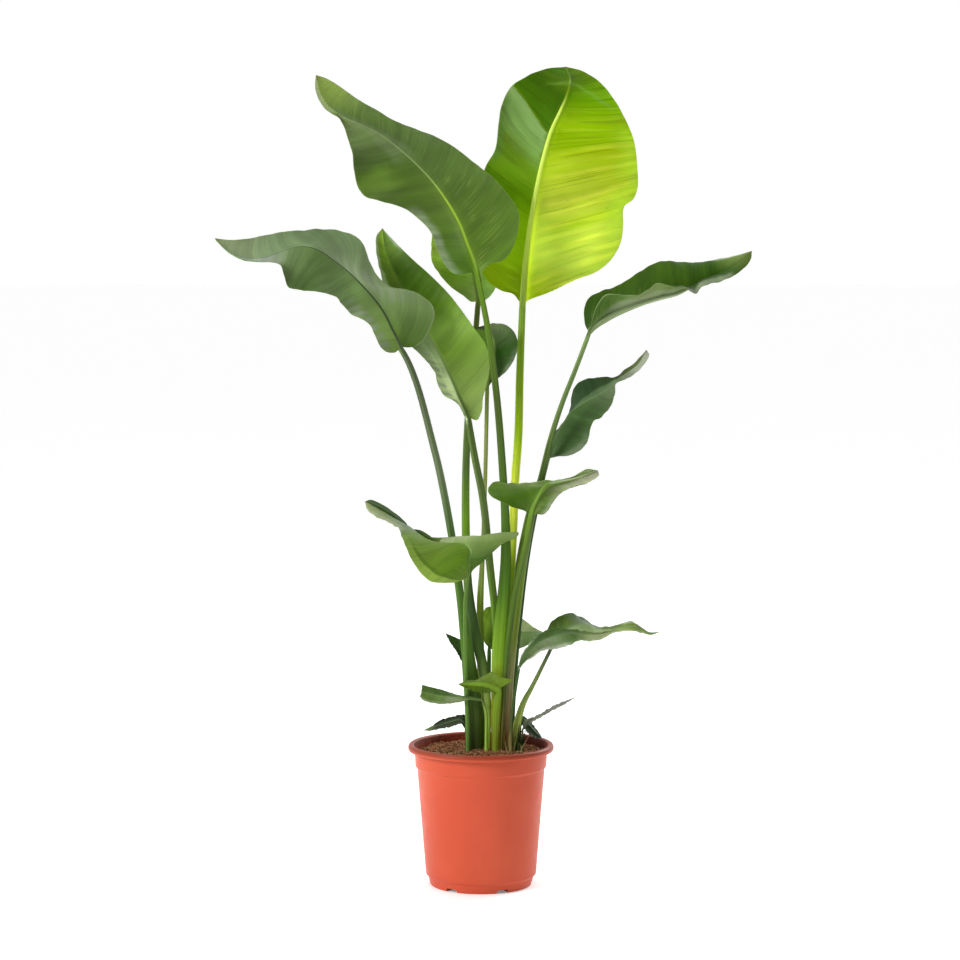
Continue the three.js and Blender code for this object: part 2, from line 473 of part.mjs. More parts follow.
function leafGeometry(leaf) {
  const [rows, columns, stalkRows] = leaf.grid;
  const top = leaf.stalk[leaf.stalk.length - 1];
  const { grid, baseSide } = bladeGrid({ ...leaf, base: top }, inSight(top), top[3], rows, columns);
  const stalk = stalkArcs(leaf.stalk, stalkRows, 2 * columns + 1, baseSide);
  return skinGeometry([...stalk, ...bladeArcs(grid, top[4])]);
}

// Solids for cutting

function solidOf(geometry) {
  const bare = geometry.clone();
  bare.deleteAttribute('normal');
  bare.deleteAttribute('uv');
  const merged = mergeVertices(bare, 1e-4);
  const corners = merged.index.array;
  const kept = [];
  for (let i = 0; i < corners.length; i += 3) {
    const [a, b, c] = [corners[i], corners[i + 1], corners[i + 2]];
    if (a !== b && b !== c && c !== a) kept.push(a, b, c);
  }
  return new wasm.Manifold(new wasm.Mesh({
    numProp: 3,
    vertProperties: new Float32Array(merged.attributes.position.array),
    triVerts: new Uint32Array(kept),
  }));
}

function geometryOf(solid) {
  const mesh = solid.getMesh();
  const geometry = new THREE.BufferGeometry();
  geometry.setAttribute('position', new THREE.BufferAttribute(new Float32Array(mesh.vertProperties), 3));
  geometry.setIndex(new THREE.BufferAttribute(new Uint32Array(mesh.triVerts), 1));
  geometry.computeVertexNormals();
  return geometry;
}

// Pot: one turned wall with a lip that rolls out and down, and notches that drain the corner of the foot

function potGeometry() {
  const lipUnder = potHeight - lipDrop;
  const profile = [
    [0, floorThickness], [footRadius - 4, floorThickness], [footRadius - potWall - 0.4, floorThickness + 1],
    [footTopRadius - potWall, footHeight + 0.4], [wallFootRadius - potWall, footHeight + 2.6],
    [wallTopRadius - potWall, collarStep + 0.6], [collarRadius - potWall - 1, collarStep + 2.6],
    [collarRadius - potWall, lipUnder - 3], [collarRadius - potWall + 0.4, lipUnder + 2],
    [collarRadius + 0.4, potHeight - 2.4], [collarRadius + 2.6, potHeight - 0.6], [rimRadius - 4, potHeight],
    [rimRadius - 1.6, potHeight - 0.9], [rimRadius, potHeight - 3.4], [rimRadius, lipUnder + 1.4],
    [rimRadius - 0.7, lipUnder], [rimRadius - potWall, lipUnder + 0.5], [rimRadius - potWall, potHeight - 4],
    [rimRadius - 4.2, potHeight - 2.2], [collarRadius + 2.8, potHeight - 2.6],
    [collarRadius + 0.8, potHeight - 5], [collarRadius, lipUnder - 3], [collarRadius - 0.9, collarStep + 1.6],
    [wallTopRadius, collarStep - 0.6], [wallFootRadius, footHeight + 2.4], [footTopRadius, footHeight],
    [footRadius, 1], [footRadius - 1, 0], [0, 0],
  ];
  const points = profile.map(([radius, height]) => new THREE.Vector2(radius, height)).reverse();
  const wall = solidOf(new THREE.LatheGeometry(points, potSides).rotateX(Math.PI / 2));
  const reach = footTopRadius - notchInnerRadius + 5;
  const notchShape = new THREE.BoxGeometry(reach, notchWidth, 2 * notchHeight);
  notchShape.translate(notchInnerRadius + reach / 2, 0, 0);
  let pot = wall;
  for (let i = 0; i < notchCount; i += 1) {
    const angle = notchFirstAngle + (360 / notchCount) * i;
    pot = pot.subtract(solidOf(notchShape).rotate([0, 0, angle]));
  }
  return geometryOf(pot);
}

// Soil: a lumpy top by a formula, sides that follow the pot, and a plain hole for every stalk

function soilHeight(x, y) {
  const mound = soilMound * (1 - (x * x + y * y) / (collarRadius * collarRadius));
  const lumps = Math.sin(x * 0.21 + 1.3) * Math.cos(y * 0.27) + 0.6 * Math.sin(x * 0.47 - y * 0.39);
  return soilLevel + mound + soilLumps * lumps;
}

function soilGeometry() {
  const sides = [
    [soilFootRadius, floorThickness + soilGap], [footTopRadius - potWall - soilGap, footHeight + 1],
    [wallFootRadius - potWall - soilGap, footHeight + 3.2],
    [wallTopRadius - potWall - soilGap, collarStep + 0.8],
  ];
  const topRadius = collarRadius - potWall - soilGap - 1;
  const rings = sides.map(([radius, height]) => ({ radius, height }));
  for (let ring = soilRings; ring >= 1; ring -= 1) rings.push({ radius: (topRadius * ring) / soilRings });
  const positions = [];
  for (const { radius, height } of rings) {
    for (let side = 0; side < soilSides; side += 1) {
      const angle = (2 * Math.PI * side) / soilSides;
      const x = radius * Math.cos(angle);
      const y = radius * Math.sin(angle);
      positions.push(new THREE.Vector3(x, y, height ?? soilHeight(x, y)));
    }
  }
  const bottom = positions.push(new THREE.Vector3(0, 0, floorThickness + soilGap)) - 1;
  const top = positions.push(new THREE.Vector3(0, 0, soilHeight(0, 0))) - 1;
  const faces = [];
  for (let side = 0; side < soilSides; side += 1) {
    const next = (side + 1) % soilSides;
    for (let ring = 0; ring < rings.length - 1; ring += 1) {
      const a = ring * soilSides + side;
      const b = ring * soilSides + next;
      faces.push([a, b, b + soilSides], [a, b + soilSides, a + soilSides]);
    }
    const rim = (rings.length - 1) * soilSides;
    faces.push([bottom, next, side], [rim + side, rim + next, top]);
  }
  const geometry = new THREE.BufferGeometry().setFromPoints(positions);
  geometry.setIndex(faces.flat());
  const holes = Object.values(leaves).map((leaf) => stalkHole(leaf.stalk));
  return geometryOf(solidOf(geometry).subtract(wasm.Manifold.union(holes)));
}

function stalkHole(stalk) {
  const [, , , halfWidth, halfDepth] = stalk[1];
  const top = inSight(stalk[1]);
  const bottom = inSight(stalk[0]).z - holeSeat;
  const round = Math.cos(Math.PI / holeSides);
  const length = 2 * (soilLevel - bottom);
  const hole = new THREE.CylinderGeometry(1, 1, length, holeSides).rotateX(Math.PI / 2);
  hole.scale((halfWidth + holeClearance) / round, (halfDepth + holeClearance) / round, 1);
  return solidOf(hole.translate(top.x, top.y, bottom + length / 2));
}

// The assembly

const model = new THREE.Group();

function addPiece(name, geometry, finish, foot = new THREE.Vector3()) {
  const material = new THREE.MeshStandardMaterial({ ...finishes[finish], metalness: 0 });
  geometry.translate(-foot.x, -foot.y, -foot.z);
  const mesh = new THREE.Mesh(geometry, material);
  mesh.name = name;
  mesh.position.copy(foot);
  model.add(mesh);
}

addPiece('pot', potGeometry(), 'pot');
addPiece('soil', soilGeometry(), 'soil');
for (const [name, leaf] of Object.entries(leaves)) {
  addPiece(name, leafGeometry(leaf), leaf.finish, inSight(leaf.stalk[0]));
}

export default model;
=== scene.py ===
"""Potted bird of paradise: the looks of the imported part.

The leaf lists are in millimetres and repeat the part's own; meshes are made in metres.
"""

import math

import bmesh
import bpy
import numpy as np
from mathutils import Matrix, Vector


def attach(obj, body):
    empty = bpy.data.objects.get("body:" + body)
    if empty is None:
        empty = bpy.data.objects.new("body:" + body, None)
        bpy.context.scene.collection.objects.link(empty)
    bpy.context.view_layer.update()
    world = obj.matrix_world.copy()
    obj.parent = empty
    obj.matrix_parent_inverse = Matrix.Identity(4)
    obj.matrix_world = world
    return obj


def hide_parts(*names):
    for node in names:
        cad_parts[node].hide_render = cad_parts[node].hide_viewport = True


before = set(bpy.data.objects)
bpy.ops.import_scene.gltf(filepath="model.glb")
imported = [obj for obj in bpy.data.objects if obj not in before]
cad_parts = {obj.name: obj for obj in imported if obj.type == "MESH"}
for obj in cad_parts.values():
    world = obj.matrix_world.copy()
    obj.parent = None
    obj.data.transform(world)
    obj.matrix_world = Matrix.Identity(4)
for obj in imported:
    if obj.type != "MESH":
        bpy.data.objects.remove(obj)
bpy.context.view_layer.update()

MM = 0.001
TURN = 2 * math.pi

# Pot, in millimetres
POT_HEIGHT = 205
RIM_RADIUS = 105
LIP_UNDERSIDE = POT_HEIGHT - 9
COLLAR_RADIUS = 95.5
COLLAR_STEP = 171
WALL_TOP_RADIUS = 92
WALL_FOOT_RADIUS = 79.7
FOOT_HEIGHT = 13
FOOT_TOP_RADIUS = 76.3
FOOT_RADIUS = 73.5
POT_WALL = 1.5
FLOOR_THICKNESS = 2
POT_SIDES = 180
CORNER_RADIUS = 1.4
CORNER_MOST_SHARE = 0.42
SHARP_ANGLE = 38
INNER_WALL_TOP = POT_HEIGHT - 1.5

# The pot's outline from the middle of the floor, over the lip, to the middle of the underside
POT_PROFILE = [
    (0, FLOOR_THICKNESS), (FOOT_RADIUS - 4, FLOOR_THICKNESS),
    (FOOT_RADIUS - POT_WALL - 0.4, FLOOR_THICKNESS + 1), (FOOT_TOP_RADIUS - POT_WALL, FOOT_HEIGHT + 0.4),
    (WALL_FOOT_RADIUS - POT_WALL, FOOT_HEIGHT + 2.6), (WALL_TOP_RADIUS - POT_WALL, COLLAR_STEP + 0.6),
    (COLLAR_RADIUS - POT_WALL - 1, COLLAR_STEP + 2.6), (COLLAR_RADIUS - POT_WALL, LIP_UNDERSIDE - 3),
    (COLLAR_RADIUS - POT_WALL + 0.4, LIP_UNDERSIDE + 2), (COLLAR_RADIUS + 0.4, POT_HEIGHT - 2.4),
    (COLLAR_RADIUS + 2.6, POT_HEIGHT - 0.6), (RIM_RADIUS - 4, POT_HEIGHT),
    (RIM_RADIUS - 1.6, POT_HEIGHT - 0.9), (RIM_RADIUS, POT_HEIGHT - 3.4), (RIM_RADIUS, LIP_UNDERSIDE + 1.4),
    (RIM_RADIUS - 0.7, LIP_UNDERSIDE), (RIM_RADIUS - POT_WALL, LIP_UNDERSIDE + 0.5),
    (RIM_RADIUS - POT_WALL, POT_HEIGHT - 4), (RIM_RADIUS - 4.2, POT_HEIGHT - 2.2),
    (COLLAR_RADIUS + 2.8, POT_HEIGHT - 2.6), (COLLAR_RADIUS + 0.8, POT_HEIGHT - 5),
    (COLLAR_RADIUS, LIP_UNDERSIDE - 3), (COLLAR_RADIUS - 0.9, COLLAR_STEP + 1.6),
    (WALL_TOP_RADIUS, COLLAR_STEP - 0.6), (WALL_FOOT_RADIUS, FOOT_HEIGHT + 2.4),
    (FOOT_TOP_RADIUS, FOOT_HEIGHT), (FOOT_RADIUS, 1), (FOOT_RADIUS - 1, 0), (0, 0),
]

# Drainage notches through the foot's corner
NOTCH_COUNT = 6
NOTCH_FIRST_ANGLE = -125
NOTCH_WIDTH = 19
NOTCH_HEIGHT = 5
NOTCH_INNER_RADIUS = 50
NOTCH_REACH = FOOT_TOP_RADIUS - NOTCH_INNER_RADIUS + 5
NOTCH_TOP_SHARE = 0.86
NOTCH_BOTTOM_SHARE = 1.14

# Soil, in millimetres: a mound with broad lumps, and fine lumps as (length, height)
SOIL_LEVEL = 190
SOIL_MOUND = 4
SOIL_GAP = 0.6
SOIL_LUMPS = 1.6
SOIL_FINE_LUMPS = ((9, 0.7), (5.5, 0.55), (3.4, 0.4), (2.1, 0.25))
SOIL_RINGS = 110
SOIL_SIDES = 260
SOIL_TOP_RADIUS = COLLAR_RADIUS - POT_WALL - SOIL_GAP - 0.6
SOIL_FOOT_RADIUS = 44
SOIL_WALL = [
    (WALL_TOP_RADIUS - POT_WALL - SOIL_GAP, COLLAR_STEP + 0.8),
    (WALL_FOOT_RADIUS - POT_WALL - SOIL_GAP, FOOT_HEIGHT + 3.2),
    (FOOT_TOP_RADIUS - POT_WALL - SOIL_GAP, FOOT_HEIGHT + 1),
    (SOIL_FOOT_RADIUS, FLOOR_THICKNESS + SOIL_GAP),
]
SOIL_SEED = 41
SOIL_TONE = 0.3
SOIL_TONE_LUMPS = 0.12
SOIL_TONE_SPREAD = 0.09

# Crumbs and fibres on the soil; a pair is the least and the most, or the middle and spread of a tone
CRUMB_SEED = 7
CRUMB_COUNT = 3000
CRUMB_LIMIT = COLLAR_RADIUS - 5
CRUMB_LEAST_SIZE = 0.5
CRUMB_SIZE_SPREAD = 1.7
CRUMB_STRETCH = (0.55, 1.6)
CRUMB_UNEVENNESS = (0.7, 1.25)
CRUMB_LIFT = (0.2, 1.4)
CRUMB_TONE = (0.5, 0.2)
FIBRE_SEED = 19
FIBRE_COUNT = 2400
FIBRE_STEPS = 6
FIBRE_SIDES = 3
FIBRE_START_LIMIT = COLLAR_RADIUS - 8
FIBRE_LIMIT = COLLAR_RADIUS - 4
FIBRE_BEND = 0.35
FIBRE_LENGTH = (6, 24)
FIBRE_RADIUS = (0.13, 0.36)
FIBRE_RISE = (0.2, 3.6)
FIBRE_LIFT = 0.9
FIBRE_LIFT_SHARES = (0.7, 1.1)
FIBRE_TONE = (0.82, 0.13)

# Strips of old sheath: place on the soil, lean to the right, height, half width, and tone from green to dry
SHEATH_STRIPS = [
    (50, -11, 6, 40, 2.6, 0.1), (53, -9, 5, 32, 2.8, 0.0), (56, -12, -6, 26, 2.0, 0.25),
    (58, -6, 6, 34, 2.4, 0.05), (61, -9, -8, 30, 1.6, 0.35), (45, -12, -2, 36, 3.2, 0.6),
    (41, -10, 3, 44, 3.4, 0.75), (47, -13, 5, 22, 1.8, 0.5),
    (55, -15, 14, 26, 0.8, 1.0), (60, -12, -5, 16, 0.9, 0.9), (38, -12, -3, 18, 1.8, 0.85),
]
SHEATH_SEED = 23
SHEATH_STEPS = 10
SHEATH_SIDES = 6
SHEATH_ROOT = 3
SHEATH_HALF_THICKNESS = 0.45
SHEATH_TAPER = 0.85
SHEATH_SWAY = 0.8
SHEATH_MOST_TURN = 0.7

# Leaves: how much finer than the solid each one is made
ROWS_FINER = 6
COLUMNS_FINER = 6
STALK_ROWS_FINER = 7

# The blade, in millimetres; a share is the part of the way from the midrib to the margin
BLADE_THICKNESS = 0.5
MARGIN_THICKNESS = 0.2
SOLID_THICKNESS = 0.8
TIP_HALF_WIDTH = 0.9
MARGIN_STRIP = 0.7
MARGIN_MOST_SHARE = 0.3
MARGIN_RUFFLE = 0.45
MARGIN_RUFFLE_WAVES = (7.3, 11.9, 17.1)
VEIN_SLANT = 0.42
VEIN_CURVE = 0.0006
NARROW_BLADE = (4, 16)
RIGHT_WAVE_PHASE = 0.9
LEAF_SEED = 100
LEAF_SEED_STEP = 7
SKIN_NOISE_STEP = 11.0

# Folds between the side veins as (length, height), and the shares over which they start
PLEATS = ((23, 0.34), (13.5, 0.3), (8.2, 0.2), (5.1, 0.1))
PLEAT_SHARES = (0.02, 0.3)
PLEAT_DRIFT = 0.8
PLEAT_DRIFT_LENGTHS = 4.7

# The midrib, and where the stalk's round section gives way to the blade's flat one
RIB_COLUMNS = 5
RIB_TAPER = 0.8
RIB_TIP_HALF_WIDTH = 0.7
RIB_MOST_SHARE = 0.85
RIB_STANDS_OUT = 0.5
GROOVE_DEPTH = 0.35
GROOVE_WIDTH = 0.55
STALK_TURN_LENGTH = 30
STALK_ROUND_LENGTH = 35
STALK_COLOUR_LENGTH = 70
JOIN_DISTANCE = 0.001

# Every leaf point is written where it is seen from an eye in front of the plant, which is the camera's
EYE_DISTANCE = 4200
EYE_HEIGHT = 955

# Studio, in metres and degrees, with the lens and the aim in millimetres
FLOOR_REACH = 40.0
LIGHTS = {
    "key": dict(place=(-2.7, -1.9, 2.0), target=(0, 0, 0.6), size=1.4, power=105),
    "back": dict(place=(1.7, 1.9, 1.9), target=(0.1, 0.1, 0.9), size=1.3, power=55),
}
FRONT_LIGHT = 0.14
BACK_LIGHT = 0.95
TOP_LIGHT = 0.8
FLOOR_GLOW = 0.2
SENSOR_WIDTH = 36
LENS = 110.42
CAMERA_TILT_DOWN = 5.017
AIM_RIGHT = 1.4
FARTHEST_SEEN = 200

# stalk: centre line from the soil to the blade, as [across, depth, up, half width, half thickness]
# rib, left, right: midrib and margins of the blade, seen on its upper face with the tip up
# grid: rows, columns a half and stalk rows of the solid; deep: how far the depths are drawn out
# cup, wave: how far each half bulges, and the margin's waves as [height, number]
LEAVES = {
    "leaf_upper_left": dict(
        grid=[22, 4, 9], deep=1.4, cup=[-4, -5], wave=[3, 5],
        stalk=[[24, -3, 145, 9, 6], [24, -3, 210, 9.5, 6], [24.5, -3, 280, 10, 6.2],
          [27.5, -3, 356, 11, 6.4], [32, -3, 413, 9, 6], [35.5, -3, 470, 7.6, 5.4], [35, -3, 529, 6.2, 5],
          [32, -3, 586, 5.6, 4.6], [23, -2, 701, 5, 4.2], [10, 2, 801, 4.4, 3.8], [-3, 6, 868, 3.8, 3.5]],
        rib=[[-9, 9, 893], [-18, 13, 919], [-31, 24, 953], [-48, 38, 983], [-70, 54, 1013], [-96, 68, 1040],
          [-119, 78, 1060], [-141, 85, 1077], [-167, 90, 1091], [-191, 94, 1101], [-214, 97, 1116],
          [-228, 99, 1136], [-233, 101, 1161]],
        left=[[-13, 6, 882], [-24, 4, 880], [-38, 6, 881], [-50, 10, 892], [-61, 16, 912], [-71, 24, 939],
          [-88, 30, 958], [-107, 34, 974], [-136, 36, 981], [-160, 38, 987], [-173, 42, 1002],
          [-180, 50, 1027], [-183, 58, 1050], [-188, 68, 1070], [-194, 80, 1091], [-203, 94, 1102],
          [-219, 104, 1114], [-231, 108, 1128], [-235.5, 108, 1142], [-235, 105, 1152]],
        right=[[4, 6, 885], [14, 4, 895], [31, 6, 900], [44, 12, 916], [53, 20, 944], [53, 30, 970],
          [35, 42, 999], [18, 50, 1016], [0, 58, 1029], [-18, 66, 1046], [-36, 74, 1060], [-70, 84, 1076],
          [-107, 92, 1092], [-130, 95, 1102], [-148, 97, 1112], [-171, 99, 1125], [-189, 100, 1138],
          [-208, 101, 1151], [-222, 102, 1158]],
    ),
    "leaf_tall_backlit": dict(
        grid=[22, 4, 9], deep=1, cup=[5, 5], wave=[2, 4],
        stalk=[[32, 20, 145, 5.5, 4.5], [32, 20, 210, 5.5, 4.5], [35, 21, 300, 5.5, 4.5],
          [40.5, 24, 400, 6, 5], [45.5, 30, 500, 6, 5], [49, 40, 586, 6, 5], [53.4, 56, 650, 6, 4.8],
          [55.6, 76, 740, 5.6, 4.6], [59.3, 96, 841, 4.8, 4.2]],
        rib=[[64, 103, 898], [70, 107, 950], [79, 110, 1000], [89, 114, 1046], [100, 119, 1084],
          [112, 124, 1110], [122, 132, 1133], [126, 150, 1152], [120, 190, 1173]],
        left=[[69, 92, 844], [98, 89, 855], [132, 86, 871], [165, 84, 884], [185, 85, 901], [198, 88, 924],
          [202, 94, 948], [202, 100, 971], [205, 102, 978], [215, 100, 985], [222, 104, 1001],
          [222, 110, 1031], [217, 118, 1068], [204, 128, 1100], [188, 142, 1129], [172, 158, 1148],
          [156, 170, 1160], [136, 182, 1169]],
        right=[[46, 98, 852], [29, 104, 857], [11, 108, 869], [-5, 110, 898], [-10, 112, 950],
          [-4, 116, 1000], [7, 118, 1034], [20, 119, 1057], [25, 122, 1094], [29, 128, 1118],
          [42, 138, 1145], [68, 152, 1161], [94, 170, 1170]],
    ),
    "leaf_behind_centre": dict(
        grid=[16, 3, 9], deep=1, cup=[-4, -4], wave=[2, 4],
        stalk=[[9.5, 3, 145, 4.4, 4], [9.5, 3, 210, 4.4, 4], [9.5, 4, 260, 5, 4], [4, 8, 309, 7, 4.4],
          [-6, 14, 355, 8, 4.8], [-15, 24, 400, 7.4, 4.8], [-19, 31, 440, 6.2, 4.6],
          [-21.5, 46, 500, 6, 4.5], [-21.5, 70, 601, 5.5, 4.3], [-17, 96, 700, 4.8, 4],
          [-7, 126, 804, 4.2, 3.6], [-4, 138, 842, 4, 3.5]],
        rib=[[-10, 144, 880], [-22, 152, 925], [-42, 162, 965], [-70, 170, 1008]],
        left=[[-14, 138, 841], [-27, 134, 851], [-41, 132, 861], [-58, 130, 878], [-69, 130, 898],
          [-71, 132, 919], [-70, 136, 940], [-72, 146, 964], [-75, 158, 988]],
        right=[[5, 136, 843], [14, 134, 850], [22, 134, 866], [24, 140, 892], [14, 150, 930],
          [-5, 158, 965], [-35, 164, 992]],
    ),
    "leaf_small_behind": dict(
        grid=[12, 3, 7], deep=1, cup=[-3, -3], wave=[1.5, 3],
        stalk=[[1, 20, 145, 5, 4], [1, 20, 210, 5, 4], [0, 28, 300, 5.4, 4], [-1, 34, 355, 5.4, 4],
          [-1, 36, 413, 5, 4], [2, 36, 471, 3.4, 3.2], [5, 36, 550, 3, 2.8], [7, 36, 629, 3, 2.6],
          [9, 36, 722, 3, 2.6]],
        rib=[[15, 38, 748], [20, 44, 775], [14, 52, 795], [-4, 62, 802], [-28, 70, 798]],
        left=[[4, 36, 728], [-8, 34, 748], [-12, 40, 770], [-14, 52, 786], [-22, 64, 792]],
        right=[[16, 33, 727], [26, 30, 733], [42, 30, 750], [52, 34, 772], [50, 42, 793], [38, 50, 807],
          [18, 60, 810], [-4, 66, 806]],
    ),
    "leaf_left_arching": dict(
        grid=[22, 4, 9], deep=1.7, cup=[-4, -5], wave=[1, 5],
        stalk=[[-10, 0, 145, 13, 8], [-10, 0, 210, 13, 8], [-11, 0, 260, 12.5, 8], [-15, 0, 300, 11.5, 7.5],
          [-21.5, 0, 355, 8.5, 6.5], [-29, -1, 413, 6, 5.4], [-41, 0, 500, 5.6, 5],
          [-58, -5, 593, 5.5, 4.8], [-68.5, -9, 637, 5.3, 4.6], [-91, -18, 722, 5, 4.3],
          [-106, -24, 760, 4.7, 4.1], [-115, -27, 775, 4.4, 4]],
        rib=[[-125, -31, 800], [-140, -36, 829], [-160, -42, 855], [-188, -48, 884], [-210, -52, 901],
          [-232, -54, 915], [-252, -56, 920], [-278, -58, 915], [-305, -60, 905], [-335, -58, 903],
          [-360, -54, 914], [-378, -50, 931]],
        left=[[-122, -34, 769], [-136, -46, 770], [-145, -56, 781], [-153, -62, 798], [-166, -66, 814],
          [-184, -64, 823], [-196, -62, 836], [-207, -70, 848], [-228, -80, 854], [-252, -86, 858],
          [-274, -90, 862], [-280, -86, 877], [-286, -78, 894], [-302, -70, 898], [-336, -64, 901],
          [-358, -58, 912]],
        right=[[-106, -24, 776], [-93, -16, 778], [-81, -10, 787], [-71, -6, 805], [-66, -2, 824],
          [-71, 0, 838], [-86, 0, 850], [-104, -2, 859], [-127, -6, 862], [-143, -8, 872], [-154, -8, 887],
          [-162, -8, 911], [-174, -8, 932], [-199, -12, 941], [-234, -18, 944], [-263, -24, 943],
          [-286, -30, 939], [-320, -38, 933], [-353, -46, 929]],
    ),
    "leaf_left_inner": dict(
        grid=[22, 4, 9], deep=1.5, cup=[-5, -6], wave=[1.5, 4],
        stalk=[[19, 14, 145, 4.8, 4.2], [19, 14, 210, 4.8, 4.2], [24, 14, 300, 5.2, 4.2],
          [23, 12, 355, 5.4, 4.2], [18.5, 10, 413, 5.6, 4.3], [13.5, 8, 457, 5.7, 4.3],
          [3, 6, 558, 5.7, 4.3], [-9, 4, 620, 5.4, 4.2], [-18, 3, 674, 4.6, 3.8]],
        rib=[[-27, 5, 698], [-37, 9, 722], [-47, 13, 744], [-58, 18, 766], [-72, 24, 792], [-92, 32, 828],
          [-112, 40, 862], [-128, 47, 893], [-137, 52, 918], [-140, 55, 945]],
        left=[[-24, 0, 680], [-31, -4, 692], [-41, -6, 701], [-51, -6, 706], [-58, -4, 717], [-63, -2, 729],
          [-67, 2, 742], [-82, 6, 760], [-98, 10, 778], [-120, 16, 805], [-135, 22, 838], [-139, 28, 866],
          [-146, 36, 892], [-149, 44, 916], [-148, 52, 936]],
        right=[[-6, 6, 672], [1, 7, 685], [3, 8, 704], [10, 10, 730], [13, 14, 757], [6, 19, 782],
          [-9, 24, 803], [-27, 29, 828], [-48, 34, 855], [-70, 39, 877], [-100, 46, 904], [-126, 53, 930]],
    ),
    "leaf_right_arching": dict(
        grid=[22, 4, 9], deep=1, cup=[5, 5], wave=[1, 5],
        stalk=[[36.5, 7, 145, 7.5, 5.2], [36.5, 7, 210, 7.5, 5.2], [40, 7, 297, 7.5, 5.4],
          [46, 6, 355, 7, 5.4], [52, 4, 413, 7.6, 6], [57.5, 3, 463, 9.2, 7], [62, 1.5, 490, 9.2, 7.2],
          [71, 0.5, 536, 8.4, 7], [85, -2, 583, 6.2, 5.6], [99, -5, 644, 4.9, 4.4], [115, -8, 695, 4.6, 4],
          [134.5, -10, 745, 4.5, 3.9], [154, -12, 797, 4.1, 3.6]],
        rib=[[165, -14, 809], [177, -16, 818], [188, -17, 824], [206, -17, 832], [230, -13, 841],
          [255, -8, 848], [280, -2, 854], [298, 3, 863], [317, 9, 872], [343, 16, 884], [366, 22, 898],
          [385, 27, 913]],
        left=[[149, -6, 807], [147, 2, 819], [147, 8, 833], [154, 14, 847], [169, 18, 855], [187, 22, 861],
          [205, 26, 871], [223, 28, 881], [237, 29, 891], [251, 30, 898], [265, 31, 899], [290, 32, 897],
          [312, 33, 898], [340, 32, 902], [361, 30, 907], [377, 28, 911]],
        right=[[158, -24, 812], [162, -36, 830], [171, -44, 845], [182, -49, 852], [202, -52, 851],
          [226, -51, 852], [239, -50, 859], [250, -48, 866], [269, -44, 864], [289, -42, 862],
          [299, -41, 855], [306, -38, 851], [315, -28, 863], [340, -16, 870], [359, -4, 877], [373, 8, 888],
          [384, 20, 902]],
    ),
    "leaf_right_curled": dict(
        grid=[16, 3, 7], deep=1.5, cup=[-3, -3], wave=[1, 3],
        stalk=[[44, 18, 145, 4, 3.6], [44, 18, 210, 4, 3.6], [48, 18, 300, 4, 3.6], [55, 17, 380, 4, 3.6],
          [67, 15, 480, 4, 3.6], [82, 14, 560, 4, 3.4], [90, 14, 595, 3.8, 3.2], [96, 14, 618, 3.5, 3]],
        rib=[[101, 15, 636], [107, 17, 652], [116, 20, 668], [129, 23, 685], [147, 27, 698], [172, 30, 712],
          [191, 33, 729], [208, 36, 740], [224, 38, 752], [236, 40, 772]],
        left=[[97, 18, 626], [101, 24, 643], [106, 30, 656], [117, 36, 670], [126, 38, 684], [129, 40, 700],
          [132, 41, 716], [140, 42, 727], [153, 42, 732], [177, 41, 734], [192, 40, 733], [202, 40, 742],
          [216, 41, 752], [227, 41, 763]],
        right=[[101, 12, 618], [110, 8, 620], [124, 4, 621], [137, 2, 626], [148, 2, 635], [154, 4, 647],
          [157, 6, 660], [161, 8, 670], [170, 10, 675], [179, 13, 684], [187, 16, 697], [192, 20, 714],
          [193, 25, 726], [206, 29, 730], [223, 32, 742], [235, 36, 755], [240, 39, 766]],
    ),
    "leaf_mid_right": dict(
        grid=[16, 3, 7], deep=1, cup=[5, 6], wave=[1, 3],
        stalk=[[30, -12, 145, 2.8, 3], [30, -12, 210, 2.8, 3], [33, -12, 268, 3.2, 3.2],
          [36.5, -12, 326, 3.8, 3.4], [41.5, -12, 370, 4.4, 3.6], [47.5, -14, 413, 4.6, 3.6],
          [57, -20, 460, 4, 3.4], [65, -29, 500, 3.4, 3.2], [71, -40, 537, 3.2, 3]],
        rib=[[77, -46, 552], [84, -48, 566], [93, -42, 577], [107, -24, 581], [128, 4, 586], [149, 32, 593],
          [167, 52, 600]],
        left=[[80, -50, 537], [90, -56, 537], [98, -58, 545], [102, -56, 552], [110, -48, 563],
          [122, -36, 573], [138, -14, 578], [155, 12, 584], [169, 36, 593]],
        right=[[62, -46, 542], [46, -58, 547], [27, -64, 556], [14, -62, 563], [10, -52, 572],
          [14, -40, 581], [24, -28, 585], [40, -20, 582], [63, -18, 581], [85, -16, 585], [109, -10, 587],
          [131, 10, 591], [151, 34, 602]],
    ),
    "leaf_mid_left": dict(
        grid=[18, 3, 6], deep=1, cup=[6, 4], wave=[1, 3],
        stalk=[[-19, -13, 145, 3, 2.6], [-19, -13, 210, 3, 2.6], [-22, -13, 297, 3, 2.6],
          [-23, -16, 384, 2.8, 2.6], [-22, -26, 420, 2.8, 2.6], [-20, -36, 444, 3, 2.8]],
        rib=[[-18, -44, 468], [-16, -46, 485], [-26, -38, 495], [-49, -22, 496], [-73, -6, 500],
          [-96, 6, 512], [-115, 16, 524], [-133, 27, 537], [-152, 36, 548], [-166, 43, 555]],
        left=[[-27, -44, 442], [-37, -54, 439], [-52, -66, 438], [-71, -72, 440], [-86, -72, 452],
          [-101, -66, 474], [-112, -58, 501], [-117, -40, 516], [-129, -20, 523], [-148, 4, 532],
          [-163, 26, 544]],
        right=[[-11, -42, 457], [1, -42, 467], [16, -40, 481], [33, -34, 496], [48, -26, 502.5],
          [54, -20, 508], [53, -16, 512], [46, -14, 510], [36, -14, 506], [22, -14, 504], [4, -14, 505],
